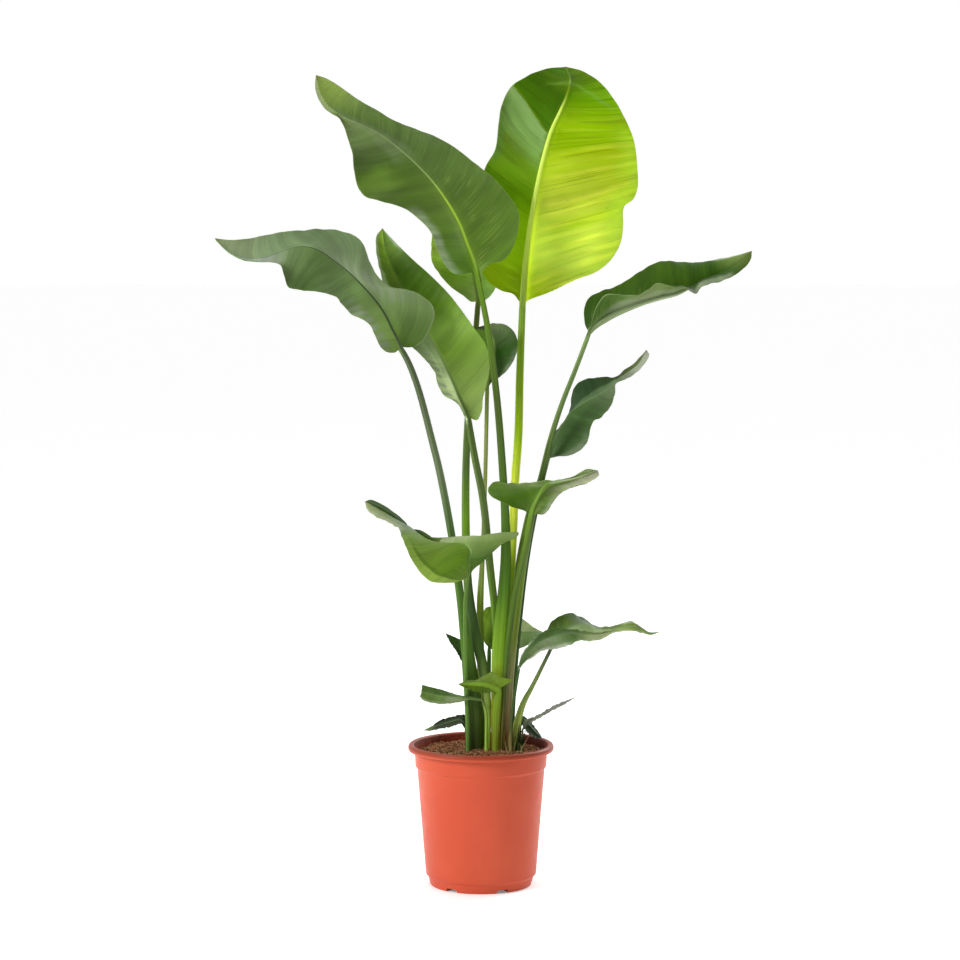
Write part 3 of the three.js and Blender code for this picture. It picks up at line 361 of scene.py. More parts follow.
          [-14, -14, 503], [-33, -14, 498], [-52, -14, 496], [-69, -14, 503], [-82, -12, 513],
          [-99, -4, 517], [-112, 8, 529], [-128, 20, 542], [-145, 34, 553], [-159, 42, 558]],
    ),
    "leaf_low_right_long": dict(
        grid=[16, 3, 5], deep=1, cup=[-3, -2], wave=[1, 3],
        stalk=[[48.5, -5, 145, 6.5, 4], [48.5, -5, 205, 6.5, 4], [52, -5, 232, 5.8, 3.8],
          [60.5, -4, 262, 4.4, 3.4], [75, -2, 290, 3.2, 2.8], [101, 6, 343, 2.6, 2.4]],
        rib=[[111, 10, 362], [130, 16, 376], [152, 24, 378], [176, 32, 370], [200, 40, 373], [222, 46, 375],
          [240, 50, 366], [257, 54, 367]],
        left=[[96, 12, 350], [94, 18, 364], [100, 26, 380], [112, 34, 390], [128, 40, 394], [146, 44, 387],
          [164, 46, 377], [180, 48, 375], [199, 50, 378], [218, 52, 382], [231, 52, 374], [243, 53, 367]],
        right=[[112, 2, 348], [130, 0, 352], [154, 4, 357], [178, 14, 363], [200, 26, 368], [226, 38, 367],
          [246, 48, 363]],
    ),
    "leaf_low_right_front": dict(
        grid=[14, 3, 5], deep=1, cup=[-2, -3], wave=[1, 3],
        stalk=[[43, -13, 145, 2.4, 2.2], [43, -13, 205, 2.4, 2.2], [44, -13, 236, 2.4, 2.2],
          [48, -16, 272, 2.4, 2.2], [53, -24, 305, 2.4, 2.2], [55, -28, 316, 2.4, 2.2]],
        rib=[[64, -34, 332], [80, -40, 350], [100, -46, 360], [125, -48, 365], [150, -46, 363],
          [175, -40, 364], [192, -34, 369]],
        left=[[56, -26, 326], [62, -26, 340], [72, -26, 353], [86, -26, 364], [101, -28, 371],
          [118, -30, 373], [137, -32, 370], [160, -33, 366], [180, -33, 368]],
        right=[[61, -36, 320], [67, -44, 326], [76, -52, 331], [87, -58, 339], [101, -62, 341],
          [119, -64, 345], [131, -64, 350], [140, -62, 355], [155, -56, 353], [171, -48, 356],
          [184, -40, 362]],
    ),
    "leaf_low_behind": dict(
        grid=[12, 3, 4], deep=1, cup=[-2, -2], wave=[0.8, 3],
        stalk=[[10, 36, 145, 3.4, 3], [10, 36, 210, 3.4, 3], [11, 39, 280, 3.2, 3], [12, 42, 344, 3, 2.8]],
        rib=[[24, 44, 357], [45, 46, 365], [70, 46, 367], [93, 44, 365]],
        left=[[5, 46, 352], [1, 52, 374], [2, 58, 394], [9, 60, 403], [21, 61, 402], [38, 60, 396],
          [58, 56, 387], [76, 50, 374]],
        right=[[20, 40, 341], [35, 38, 338], [52, 37, 342], [66, 38, 347], [81, 41, 356]],
    ),
    "leaf_low_left_tip": dict(
        grid=[9, 3, 4], deep=1, cup=[-1, -1], wave=[0.5, 2],
        stalk=[[-10, 21, 145, 3.4, 3], [-10, 21, 210, 3.4, 3], [-11, 22, 270, 3.2, 2.8],
          [-12, 22, 306, 3, 2.6]],
        rib=[[-18, 22, 324], [-32, 21, 345], [-51, 20, 365]],
        left=[[-17, 18, 308], [-26, 16, 322], [-36, 16, 339], [-45, 17, 353]],
        right=[[-9, 24, 318], [-12, 26, 338], [-21, 26, 351], [-36, 24, 359]],
    ),
    "leaf_low_front": dict(
        grid=[10, 3, 4], deep=1, cup=[2, 2], wave=[0.4, 3],
        stalk=[[21, -15, 145, 4.5, 2.8], [21, -15, 205, 4.5, 2.8], [22, -17, 250, 5.2, 2.8],
          [25, -22, 282, 5.6, 2.8]],
        rib=[[14, -27, 289], [2, -30, 291], [-14, -31, 291], [-33, -30, 291]],
        left=[[32, -25, 288], [40, -24, 293], [46, -23, 297], [34, -21, 300], [24, -21, 304],
          [16, -21, 309], [6, -22, 304], [-6, -23, 298], [-20, -26, 296]],
        right=[[16, -28, 280], [8, -32, 278], [-4, -35, 280], [-18, -35, 284], [-28, -33, 288]],
    ),
    "leaf_low_left_roll": dict(
        grid=[12, 3, 4], deep=1, cup=[-1, -1], wave=[0.4, 2],
        stalk=[[8, -11, 145, 2.9, 2.3], [8, -11, 205, 2.9, 2.3], [7, -14, 250, 2.5, 2.1],
          [2, -19, 268, 2, 1.8]],
        rib=[[-14, -21, 270], [-28, -20, 271], [-45, -12, 273], [-62, -5, 275], [-80, 4, 279],
          [-86, 14, 281], [-78, 22, 282]],
        left=[[-16, -23, 268], [-30, -22, 265], [-44, -18, 263], [-58, -13, 262], [-73, -8, 264],
          [-84, 0, 268], [-88, 10, 274], [-84, 18, 279]],
        right=[[-16, -19, 273], [-30, -18, 275], [-44, -8, 279], [-60, -2, 284], [-77, 4, 288],
          [-85, 10, 290], [-84, 18, 286]],
    ),
    "leaf_low_left_droop": dict(
        grid=[9, 3, 3], deep=1, cup=[-1, -1], wave=[0.4, 2],
        stalk=[[-20, 13, 145, 2.4, 2.2], [-20, 13, 205, 2.4, 2.2], [-22, 14, 228, 2.3, 2.1]],
        rib=[[-30, 14, 238], [-45, 12, 236], [-64, 8, 230], [-83, 4, 224]],
        left=[[-27, 8, 233], [-34, 2, 232], [-47, -2, 228], [-63, -2, 225], [-76, 1, 223]],
        right=[[-20, 20, 240], [-24, 24, 247], [-44, 22, 243], [-60, 18, 238], [-73, 10, 229]],
    ),
    "leaf_low_right_thin": dict(
        grid=[9, 3, 3], deep=1, cup=[-1, -1], wave=[0.4, 2],
        stalk=[[60, 10, 145, 2, 1.8], [60, 10, 205, 2, 1.8], [60, 10, 225, 1.8, 1.6]],
        rib=[[68, 10, 238], [80, 9, 244], [92, 8, 250], [105, 7, 258], [120, 6, 265], [136, 4, 272]],
        left=[[62, 16, 237], [74, 22, 243], [88, 25, 250], [104, 22, 259], [121, 14, 267]],
        right=[[67, 3, 232], [77, -6, 238], [90, -10, 245], [106, -9, 254], [122, -4, 263]],
    ),
    "leaf_low_right_droop": dict(
        grid=[8, 3, 3], deep=1, cup=[-1, -1], wave=[0.3, 2],
        stalk=[[56, 26, 145, 1.8, 1.6], [56, 26, 205, 1.8, 1.6], [57, 28, 230, 1.8, 1.6]],
        rib=[[62, 29, 238], [70, 28, 231], [79, 26, 221], [88, 23, 213]],
        left=[[60, 34, 245], [69, 36, 239], [79, 33, 227], [85, 28, 219]],
        right=[[59, 23, 232], [63, 20, 226], [69, 18, 218], [79, 18, 212]],
    ),
}


def paint(colour):
    """A screen colour, as #rrggbb, as the linear numbers that shaders take."""
    channels = (int(colour[at:at + 2], 16) / 255 for at in (1, 3, 5))
    return tuple(((c + 0.055) / 1.055) ** 2.4 for c in channels) + (1.0,)


def until(full, gone):
    """A mark's bounds from the left margin, or from the stalk."""
    return (-9, -8, full, gone)


def beyond(start, full):
    """A mark's bounds to the right margin, or to the tip."""
    return (start, full, 8, 9)


# How each leaf looks, in screen colours
# left, right: colours of the two halves of the face that shows, by the share of the way to the tip; they
# also paint light and shade on the leaf, such as the tall leaf's backlit glow and darker curled top, sheen,
# and shadows cast by other leaves;
# shown: the face that shows, 1 the upper and 0 the lower; other: the other face's colour or colours;
# rib: the midrib on the two faces, which fades between the shares rib_end to the strength rib_last;
# rib_far: the upper midrib's colour further out; rib_width: its width beside the stalk's; halo: a painted
# highlight, a paler strip beside the midrib near the stalk, as from, to in millimetres and the strength on
# each half;
# marks: patches of painted highlight, sheen and shade, and a few thin pale margins, as (strength, colour,
# bounds by coordinate), each bound as rise from, to, fall from, to,
# which lean and bow let shift with the place across the blade; loose: how far their edges wander;
# other: the mark lies on the face that doesn't show;
# comb: [period, strength, half, highlight colour, shade colour] of bands of painted light and shade on the
# folds along the side veins, in millimetres, and in a mark (period, least) of the stripes that break it up;
# ticks, tick_colour: how strong the short pale lines on the two halves are;
# lines: depth of the thin dark ones;
# glow, through: tint and share of the light let through; stalk: colours by height in millimetres, which
# also paint the light and shade along each stalk;
# pleat: how deep the folds between the side veins are; streak: how strong their tones show;
# rough, gloss: the skin's roughness and specular level
# PLAIN_LOOK: what each leaf has unless its own look says otherwise
PLAIN_LOOK = dict(
    shown=1, rib_end=(0.35, 0.8), rib_last=0.15, rib_width=0.5, halo=(2, 13, 0.12, 0.12), marks=(),
    ticks=(0.12, 0.12), tick_colour="#96ac54", lines=0.1, glow=(1.15, 1.2, 0.35), streak=1.0,
    through=0.25, pleat=0.8, rough=0.5, gloss=0.22,
)
LOOKS = {
    "leaf_upper_left": dict(
        left=[(0.08, "#4c7212"), (0.3, "#567123"), (0.55, "#456019"), (0.75, "#799152"), (0.93, "#839061")],
        right=[(0.08, "#5e7f24"), (0.3, "#577622"), (0.62, "#546c32"), (0.82, "#627c3a"),
            (0.95, "#8aa24a")],
        other="#70924e", rib=["#98ba32", "#78a046"], rib_far="#7e9458", rib_end=(0.6, 0.95), rib_last=0.3,
        pleat=0.9, ticks=(0.0, 0.3),
        stalk=[(190, "#beb038"), (330, "#719816"), (430, "#4d7610"), (700, "#41541c"), (860, "#587c14")],
        marks=[
            # Painted sheen: pale streaks of light on the folds near the lower left margin
            (0.75, "#98a886", dict(across=until(-0.88, -0.64), along=(0.06, 0.12, 0.3, 0.38),
                comb=(17, 0.62))),
            (0.7, "#6a8a2c", dict(across=until(-0.6, -0.2), along=(0.44, 0.49, 0.54, 0.6))),
            # Painted sheen beside the upper midrib
            (0.35, "#809268", dict(across=(-0.3, -0.15, 0.1, 0.3), along=(0.5, 0.62, 0.84, 0.9))),
        ],
    ),
    "leaf_tall_backlit": dict(
        shown=0, other="#507d1e",
        # Both halves paint the backlight coming through: bright yellow on one half, darker green on the
        # other and at the curled top
        left=[(0.05, "#ccd51c"), (0.2, "#fffe7c"), (0.45, "#e0e04a"), (0.62, "#c6d008"), (0.8, "#8ab403"),
            (0.9, "#729005")],
        right=[(0.05, "#8f9d09"), (0.3, "#acc314"), (0.42, "#88ac0e"), (0.6, "#74862b"), (0.8, "#7e9803"),
            (0.93, "#689204")],
        rib=["#bed76e", "#daf06a"], rib_end=(0.72, 0.82), rib_last=0.0, halo=(3, 14, 0.5, 0.0),
        ticks=(0.0, 0.12), tick_colour="#bad060", comb=[19, 0.14, -1, "#f0f0a0", "#b0c614"],
        glow=(1.6, 1.5, 0.35), through=0.62, pleat=0.6, streak=0.35, lines=0.16, gloss=0.1,
        stalk=[(190, "#789c28"), (450, "#a0bc32"), (560, "#e8f24e"), (640, "#9abe18"), (850, "#708e34")],
        marks=[
            (0.6, "#bcd010", dict(across=until(-0.5, -0.1), vein=(84, 94, 104, 112), loose=0.4)),
            (0.6, "#a6c604", dict(across=until(-0.1, 0.0), vein=(214, 226, 246, 272), loose=0.5)),
            # Painted sheen: a grey-green wedge of reflected light with a paler edge
            (0.95, "#96ae74", dict(across=beyond(0.0, 0.08), vein=(182, 216, 243, 248), lean=-13)),
            (0.5, "#b0c296", dict(across=beyond(0.0, 0.1), vein=(222, 236, 243, 247), lean=-13)),
            (0.7, "#708c4e", dict(across=beyond(0.8, 0.95), vein=(150, 172, 230, 250))),
            # Painted shade where the top curls back behind the blade
            (0.85, "#4e760a", dict(across=beyond(0.0, 0.06), vein=(246, 251, 300, 340), lean=-13)),
            (0.6, "#c6dc4c", dict(across=until(-0.95, -0.7), along=(0.1, 0.2, 0.6, 0.75))),
            # Painted highlight: a pale band along the fold where the top bends back
            (0.75, "#96b84e", dict(across=(-1.0, -0.7, 0.2, 0.6), along=(0.85, 0.866, 0.874, 0.89),
                bow=0.14)),
        ],
    ),
    "leaf_behind_centre": dict(
        left=[(0.0, "#aaba70"), (0.15, "#88a24c"), (0.3, "#92b832"), (0.5, "#c4de5e")],
        right=[(0.0, "#88aa54"), (0.3, "#82a838")],
        other="#6e963c", rib=["#789c38", "#82aa50"], through=0.35, pleat=0.9,
        stalk=[(190, "#c4e858"), (280, "#8ca550"), (330, "#496827"), (410, "#3c5427"), (440, "#4c6526"),
            (520, "#658d18"), (600, "#4b6529"), (840, "#5c6a2c")],
    ),
    "leaf_small_behind": dict(
        left=[(0.1, "#426228"), (0.6, "#9ac24c")],
        right=[(0.1, "#485f32"), (0.4, "#284d0c"), (0.7, "#66774e")],
        other="#50763c", rib=["#60823c", "#648c46"], through=0.2, gloss=0.1,
        stalk=[(190, "#78823e"), (400, "#79912d"), (480, "#909c5c"), (720, "#7c8c42")],
        marks=[
            (0.6, "#809070", dict(across=beyond(0.6, 0.95), along=until(0.3, 0.45))),
        ],
    ),
    "leaf_left_arching": dict(
        # The pale grey colours towards the tip paint its sheen
        left=[(0.0, "#93b45c"), (0.4, "#769258"), (0.52, "#637e43"), (0.66, "#708856"), (0.8, "#a1a79d")],
        right=[(0.05, "#789c3c"), (0.3, "#96ae7a"), (0.65, "#718a5b"), (0.8, "#82986d"), (0.95, "#8e9c74")],
        other="#6e8a58", rib=["#344c22", "#6e8c54"], rib_end=(0.6, 0.95), rib_last=0.4, through=0.22,
        rough=0.62, gloss=0.15,
        stalk=[(190, "#445423"), (350, "#4a6e21"), (480, "#4a6a2c"), (600, "#687854"), (740, "#5a6848")],
        marks=[
            # Painted sheen: two patches of pale grey-green streaks of light
            (0.85, "#9caa8e", dict(across=until(-0.75, -0.4), along=(0.04, 0.1, 0.3, 0.42),
                comb=(15, 0.25))),
            (0.7, "#a0ae8e", dict(across=(0.1, 0.2, 0.6, 0.9), along=(0.2, 0.27, 0.42, 0.52),
                comb=(20, 0.1))),
            (0.5, "#506e34", dict(across=beyond(0.15, 0.35), along=until(0.12, 0.24))),
            (0.55, "#4c6c2a", dict(across=until(-0.8, -0.4), along=(0.48, 0.55, 0.66, 0.74))),
            (0.6, "#b0c492", dict(across=beyond(0.955, 0.985), along=until(0.22, 0.3), loose=0.1)),
        ],
    ),
    "leaf_left_inner": dict(
        # Both halves darken towards the tip: painted shadow cast by the leaves above
        left=[(0.1, "#eafabe"), (0.28, "#e2f8bc"), (0.4, "#9db67e"), (0.5, "#648236"), (0.72, "#648028"),
            (0.9, "#80a030")],
        right=[(0.1, "#8ea757"), (0.35, "#7a9d34"), (0.46, "#90b64c"), (0.58, "#669018"), (0.78, "#45670c"),
            (0.92, "#6d8b39")],
        other="#7d9c5c", rib=["#7a9a44", "#82a654"], rib_end=(0.3, 0.5), rib_last=0.0, through=0.28,
        pleat=1.3,
        stalk=[(190, "#506e30"), (400, "#668a26"), (520, "#61783c"), (670, "#4f672a")],
        marks=[
            (0.9, "#a8b694", dict(across=until(-0.55, -0.3), along=until(0.34, 0.44), comb=(14, 0.3))),
            (0.4, "#68863e", dict(across=(-0.4, -0.25, -0.02, 0.0), along=(0.2, 0.28, 0.4, 0.5))),
            (0.85, "#b6c49e", dict(across=until(-0.8, -0.55), along=beyond(0.6, 0.7))),
            (0.8, "#a0b092", dict(across=beyond(0.75, 0.9), along=beyond(0.86, 0.92))),
        ],
    ),
    "leaf_right_arching": dict(
        left=[(0.1, "#325309"), (0.6, "#43670c"), (0.78, "#38600c"), (0.95, "#849954")],
        right=[(0.4, "#3c5a10"), (0.64, "#2c4a10"), (0.82, "#335a0a"), (0.95, "#627832")],
        other=[(0.0, "#80985a"), (0.18, "#4a681a"), (0.28, "#7c8d5d"), (0.5, "#627a36")],
        rib=["#507228", "#96a67e"], rib_last=0.4, through=0.2, pleat=0.7, gloss=0.12,
        stalk=[(190, "#be9064"), (290, "#8e8c5c"), (360, "#6a7c28"), (430, "#68841e"), (560, "#445a20"),
            (800, "#6e864c")],
        marks=[
            (0.75, "#426818", dict(across=(0.2, 0.6, 0.94, 0.98), along=until(0.24, 0.34), other=True)),
            (0.85, "#92ac6a", dict(across=beyond(0.91, 0.97), loose=0.1, other=True)),
            (0.5, "#96a484", dict(across=(-0.1, 0.0, 0.2, 0.4), along=(0.1, 0.2, 0.5, 0.6), other=True)),
            (0.65, "#a8b692", dict(across=beyond(0.55, 0.85), along=(0.56, 0.62, 0.8, 0.86))),
            (0.9, "#cedabc", dict(across=until(-0.9, -0.6), along=beyond(0.8, 0.88))),
        ],
    ),
    "leaf_right_curled": dict(
        left=[(0.4, "#3a4f32"), (0.52, "#2e4825"), (0.7, "#324925"), (0.85, "#626e42")],
        right=[(0.1, "#445f31"), (0.3, "#405e2b"), (0.46, "#516e3c"), (0.68, "#738563"), (0.85, "#aab09c")],
        other="#6c8650", rib=["#6e8854", "#82a060"], rib_end=(0.5, 0.9), through=0.18, ticks=(0.0, 0.0),
        rough=0.6, gloss=0.15,
        stalk=[(190, "#42602c"), (420, "#365226"), (620, "#3c582c")],
        marks=[
            (0.8, "#607852", dict(across=(-0.4, -0.2, 0.0, 0.04), along=(0.28, 0.38, 0.7, 0.8))),
            (0.8, "#768668", dict(across=beyond(0.7, 0.92), along=until(0.2, 0.36))),
        ],
    ),
    "leaf_mid_right": dict(
        shown=0, other="#56762c",
        left=[(0.05, "#4f641b"), (0.2, "#587527"), (0.38, "#9eb269"), (0.9, "#e0e0be")],
        right=[(0.05, "#496c0e"), (0.25, "#4f7610"), (0.4, "#62831a"), (0.6, "#d8f0a6")],
        rib=["#78964c", "#7ea044"], rib_end=(0.3, 0.8), rib_last=0.3, halo=(2, 14, 0.4, 0.2), pleat=0.5,
        streak=0.7,
        stalk=[(190, "#574c1c"), (330, "#425e0e"), (480, "#4d6916"), (540, "#63851c")],
        marks=[
            (0.8, "#909e78", dict(across=until(-0.9, -0.6), along=(0.08, 0.16, 0.6, 0.8))),
        ],
    ),
    "leaf_mid_left": dict(
        other="#62842a",
        left=[(0.0, "#748c3f"), (0.14, "#608515"), (0.32, "#6a8925"), (0.45, "#86a83e"), (0.52, "#78973c"),
            (0.62, "#7c8e70"), (0.8, "#869565"), (0.95, "#919b6b")],
        # The pale middle stops of this half paint a highlight on its lobe
        right=[(0.0, "#4e6a22"), (0.12, "#416616"), (0.26, "#92ac5f"), (0.42, "#b0c18c"), (0.6, "#7e9464"),
            (0.8, "#385224"), (0.95, "#40582c")],
        rib=["#86a854", "#6a8e36"], rib_end=(0.2, 0.5), rib_width=0.8, through=0.28, pleat=0.5, streak=0.7,
        stalk=[(190, "#5e8637"), (440, "#5a7a2c")],
        marks=[
            (0.6, "#54701a", dict(across=(-0.85, -0.81, -0.79, -0.74), along=(0.06, 0.14, 0.4, 0.48),
                loose=0.2)),
            (0.8, "#98b64c", dict(across=until(-0.86, -0.82), along=(0.02, 0.1, 0.46, 0.56), loose=0.2)),
            (0.8, "#a2ad88", dict(across=until(-0.9, -0.7), along=beyond(0.55, 0.62))),
        ],
    ),
    "leaf_low_right_long": dict(
        left=[(0.1, "#54702e"), (0.28, "#4c661e"), (0.42, "#798c70"), (0.8, "#8ea658")],
        right=[(0.1, "#546c30"), (0.3, "#a0ba82"), (0.6, "#98ac68"), (0.8, "#8aa254")],
        other="#6c884c", rib=["#8ca468", "#789656"], rib_end=(0.4, 0.7), rib_last=0.5, rib_width=0.8,
        rough=0.6, gloss=0.15,
        stalk=[(190, "#a8b04e"), (260, "#8ea450"), (340, "#364232")],
        marks=[
            # Painted highlights along the margins
            (0.85, "#ced6ba", dict(across=beyond(0.45, 0.8), along=(0.4, 0.46, 0.6, 0.68), loose=0.5)),
            (0.8, "#c4ccb6", dict(across=until(-0.9, -0.7), along=(0.7, 0.76, 0.94, 1.0), loose=0.5)),
        ],
    ),
    "leaf_low_right_front": dict(
        left=[(0.1, "#50683c"), (0.4, "#455f2b"), (0.6, "#43621e"), (0.8, "#64783c")],
        right=[(0.1, "#48582e"), (0.4, "#768860"), (0.62, "#577636"), (0.8, "#abb785")],
        other="#68864c", rib=["#6c8652", "#739254"], through=0.22, rough=0.6, gloss=0.15,
        stalk=[(190, "#9e8650"), (230, "#44542c"), (320, "#36522a")],
        marks=[
            # Painted highlights along the margins
            (0.85, "#b8c2ac", dict(across=beyond(0.5, 0.92), along=until(0.5, 0.62), loose=0.5)),
            (0.8, "#b4c0aa", dict(across=until(-0.95, -0.75), along=until(0.2, 0.3), loose=0.5)),
        ],
    ),
    "leaf_low_behind": dict(
        left=[(0.0, "#5d791e"), (0.3, "#74922a"), (0.42, "#62801e"), (0.65, "#c4d09c")],
        right=[(0.3, "#6e8e2c"), (0.5, "#aaba90"), (0.65, "#8eac68"), (0.8, "#9eb686")],
        other="#5c7e38", rib=["#6e8c46", "#6e8c4a"],
        stalk=[(190, "#547234"), (340, "#688c3e")],
    ),
    "leaf_low_left_tip": dict(
        left=[(0.0, "#3e5c26")],
        right=[(0.0, "#3e5c26")],
        other="#54743a", rib=["#5a783c", "#5e7e46"], through=0.2,
        stalk=[(190, "#3a5828"), (300, "#3a5828")],
    ),
    "leaf_low_front": dict(
        shown=0, other="#567424",
        left=[(0.1, "#6c8c1c"), (0.35, "#728d2a"), (0.6, "#728e3a")],
        right=[(0.1, "#58731a"), (0.4, "#556f14")],
        rib=["#6e9032", "#749636"], pleat=0.6,
        stalk=[(190, "#809226"), (280, "#709214")],
    ),
    "leaf_low_left_roll": dict(
        left=[(0.4, "#78885c"), (0.55, "#607e34"), (0.7, "#486514")],
        right=[(0.4, "#546c38"), (0.55, "#3c5a16"), (0.7, "#36520a")],
        other="#5c7c38", rib=["#547030", "#6a8a4a"], rib_end=(0.1, 0.4), rib_last=0.0, through=0.22,
        pleat=0.6,
        stalk=[(190, "#aad852"), (255, "#96b84e"), (266, "#5c7836")],
        marks=[
            (0.55, "#96a47e", dict(across=until(-0.9, -0.6), along=beyond(0.4, 0.55))),
        ],
    ),
    "leaf_low_left_droop": dict(
        left=[(0.7, "#222e0a"), (0.9, "#708450")],
        right=[(0.7, "#24320c"), (0.9, "#708450")],
        other="#4e6836", rib=["#546c36", "#546c3a"], through=0.2, pleat=0.6,
        stalk=[(190, "#405c2a"), (230, "#3a5426")],
    ),
    "leaf_low_right_thin": dict(
        left=[(0.0, "#989e94"), (0.25, "#707660"), (0.6, "#6c6e60"), (1.0, "#827e7a")],
        right=[(0.0, "#989e94"), (0.25, "#707660"), (0.6, "#6c6e60"), (1.0, "#827e7a")],
        other="#6c7060", rib=["#767a68", "#767a68"], through=0.15, pleat=0.6,
        stalk=[(190, "#68744e"), (225, "#828a76")],
    ),
    "leaf_low_right_droop": dict(
        left=[(0.0, "#385428"), (0.6, "#46583e")],
        right=[(0.0, "#283e18"), (0.6, "#304222")],
        other="#465a32", rib=["#566a42", "#586c46"], through=0.18, pleat=0.6,
        stalk=[(190, "#3c5628"), (215, "#345026")],
    ),
}


# Vectors and curves

def unit(vectors):
    return vectors / np.maximum(np.linalg.norm(vectors, axis=-1, keepdims=True), 1e-9)


def ease(low, high, value):
    share = np.clip((value - low) / (high - low), 0, 1)
    return share * share * (3 - 2 * share)


def in_sight(points):
    """Written leaf points as places in space, each moved along its line of sight."""
    points = np.asarray(points, float)
    scale = (EYE_DISTANCE + points[:, 1]) / EYE_DISTANCE
    up = EYE_HEIGHT + (points[:, 2] - EYE_HEIGHT) * scale
    return np.stack([points[:, 0] * scale, points[:, 1], up], axis=1)


def smooth_curve(points, dense=40):
    """A centripetal Catmull-Rom curve through points, and each of its points' place in their list."""
    points = np.asarray(points, float)
    padded = np.vstack([2 * points[0] - points[1], points, 2 * points[-1] - points[-2]])
    curve = []
    places = []
    share = np.linspace(0, 1, dense, endpoint=False)
    w = share[:, None]
    for i in range(len(points) - 1):
        p0, p1, p2, p3 = padded[i:i + 4]
        d0, d1, d2 = (max(np.linalg.norm(b - a), 1e-6) ** 0.5 for a, b in ((p0, p1), (p1, p2), (p2, p3)))
        t1 = ((p1 - p0) / d0 - (p2 - p0) / (d0 + d1) + (p2 - p1) / d1) * d1
        t2 = ((p2 - p1) / d1 - (p3 - p1) / (d1 + d2) + (p3 - p2) / d2) * d1
        square, cube = 3 * (p2 - p1) - 2 * t1 - t2, 2 * (p1 - p2) + t1 + t2
        curve.append(p1 + t1 * w + square * w ** 2 + cube * w ** 3)
        places.append(i + share)
    curve.append(points[-1:])
    places.append([len(points) - 1.0])
    return np.vstack(curve), np.concatenate(places)


def spaced(points, count):
    """count points evenly spaced along the smooth curve, their places in the list, and its length."""
    curve, places = smooth_curve(points)
    steps = np.linalg.norm(np.diff(curve, axis=0), axis=1)
    length = np.concatenate([[0], np.cumsum(steps)])
    at = np.linspace(0, length[-1], count)
    even = np.stack([np.interp(at, length, curve[:, k]) for k in range(3)], axis=1)
    return even, np.interp(at, length, places), length[-1]


def directions(points):
    ahead = np.vstack([points[1:], points[-1:]])
    behind = np.vstack([points[:1], points[:-1]])
    return unit(ahead - behind)


def steps_along(grid):
    """From each point's neighbour before it to the one after it, along the first axis."""
    return np.concatenate([grid[1:], grid[-1:]]) - np.concatenate([grid[:1], grid[:-1]])


def as_mesh(name, points, faces, values=None):
    """An object with a smooth mesh of points in millimetres, and a number at each point for every key."""
    mesh = bpy.data.meshes.new(name)
    points = np.asarray(points) * MM
    mesh.from_pydata([tuple(p) for p in points], [], [tuple(int(i) for i in f) for f in faces])
    for key, numbers in (values or {}).items():
        layer = mesh.attributes.new(key, "FLOAT", "POINT")
        layer.data.foreach_set("value", np.ascontiguousarray(numbers, np.float32))
    mesh.polygons.foreach_set("use_smooth", [True] * len(mesh.polygons))
    mesh.update()
    piece = bpy.data.objects.new(name, mesh)
    bpy.context.scene.collection.objects.link(piece)
    return piece


# Leaf meshes

def folds(vein, seed):
    """The height of the folds between the side veins, by the distance along the midrib."""
    rng = np.random.default_rng(seed)
    total = np.zeros_like(vein)
    for length, height in PLEATS:
        phase = rng.uniform(0, TURN)
        drift = PLEAT_DRIFT * np.sin(vein / (length * PLEAT_DRIFT_LENGTHS) + rng.uniform(0, TURN))
        total += height * np.sin(TURN * vein / length + phase + drift)
    return total


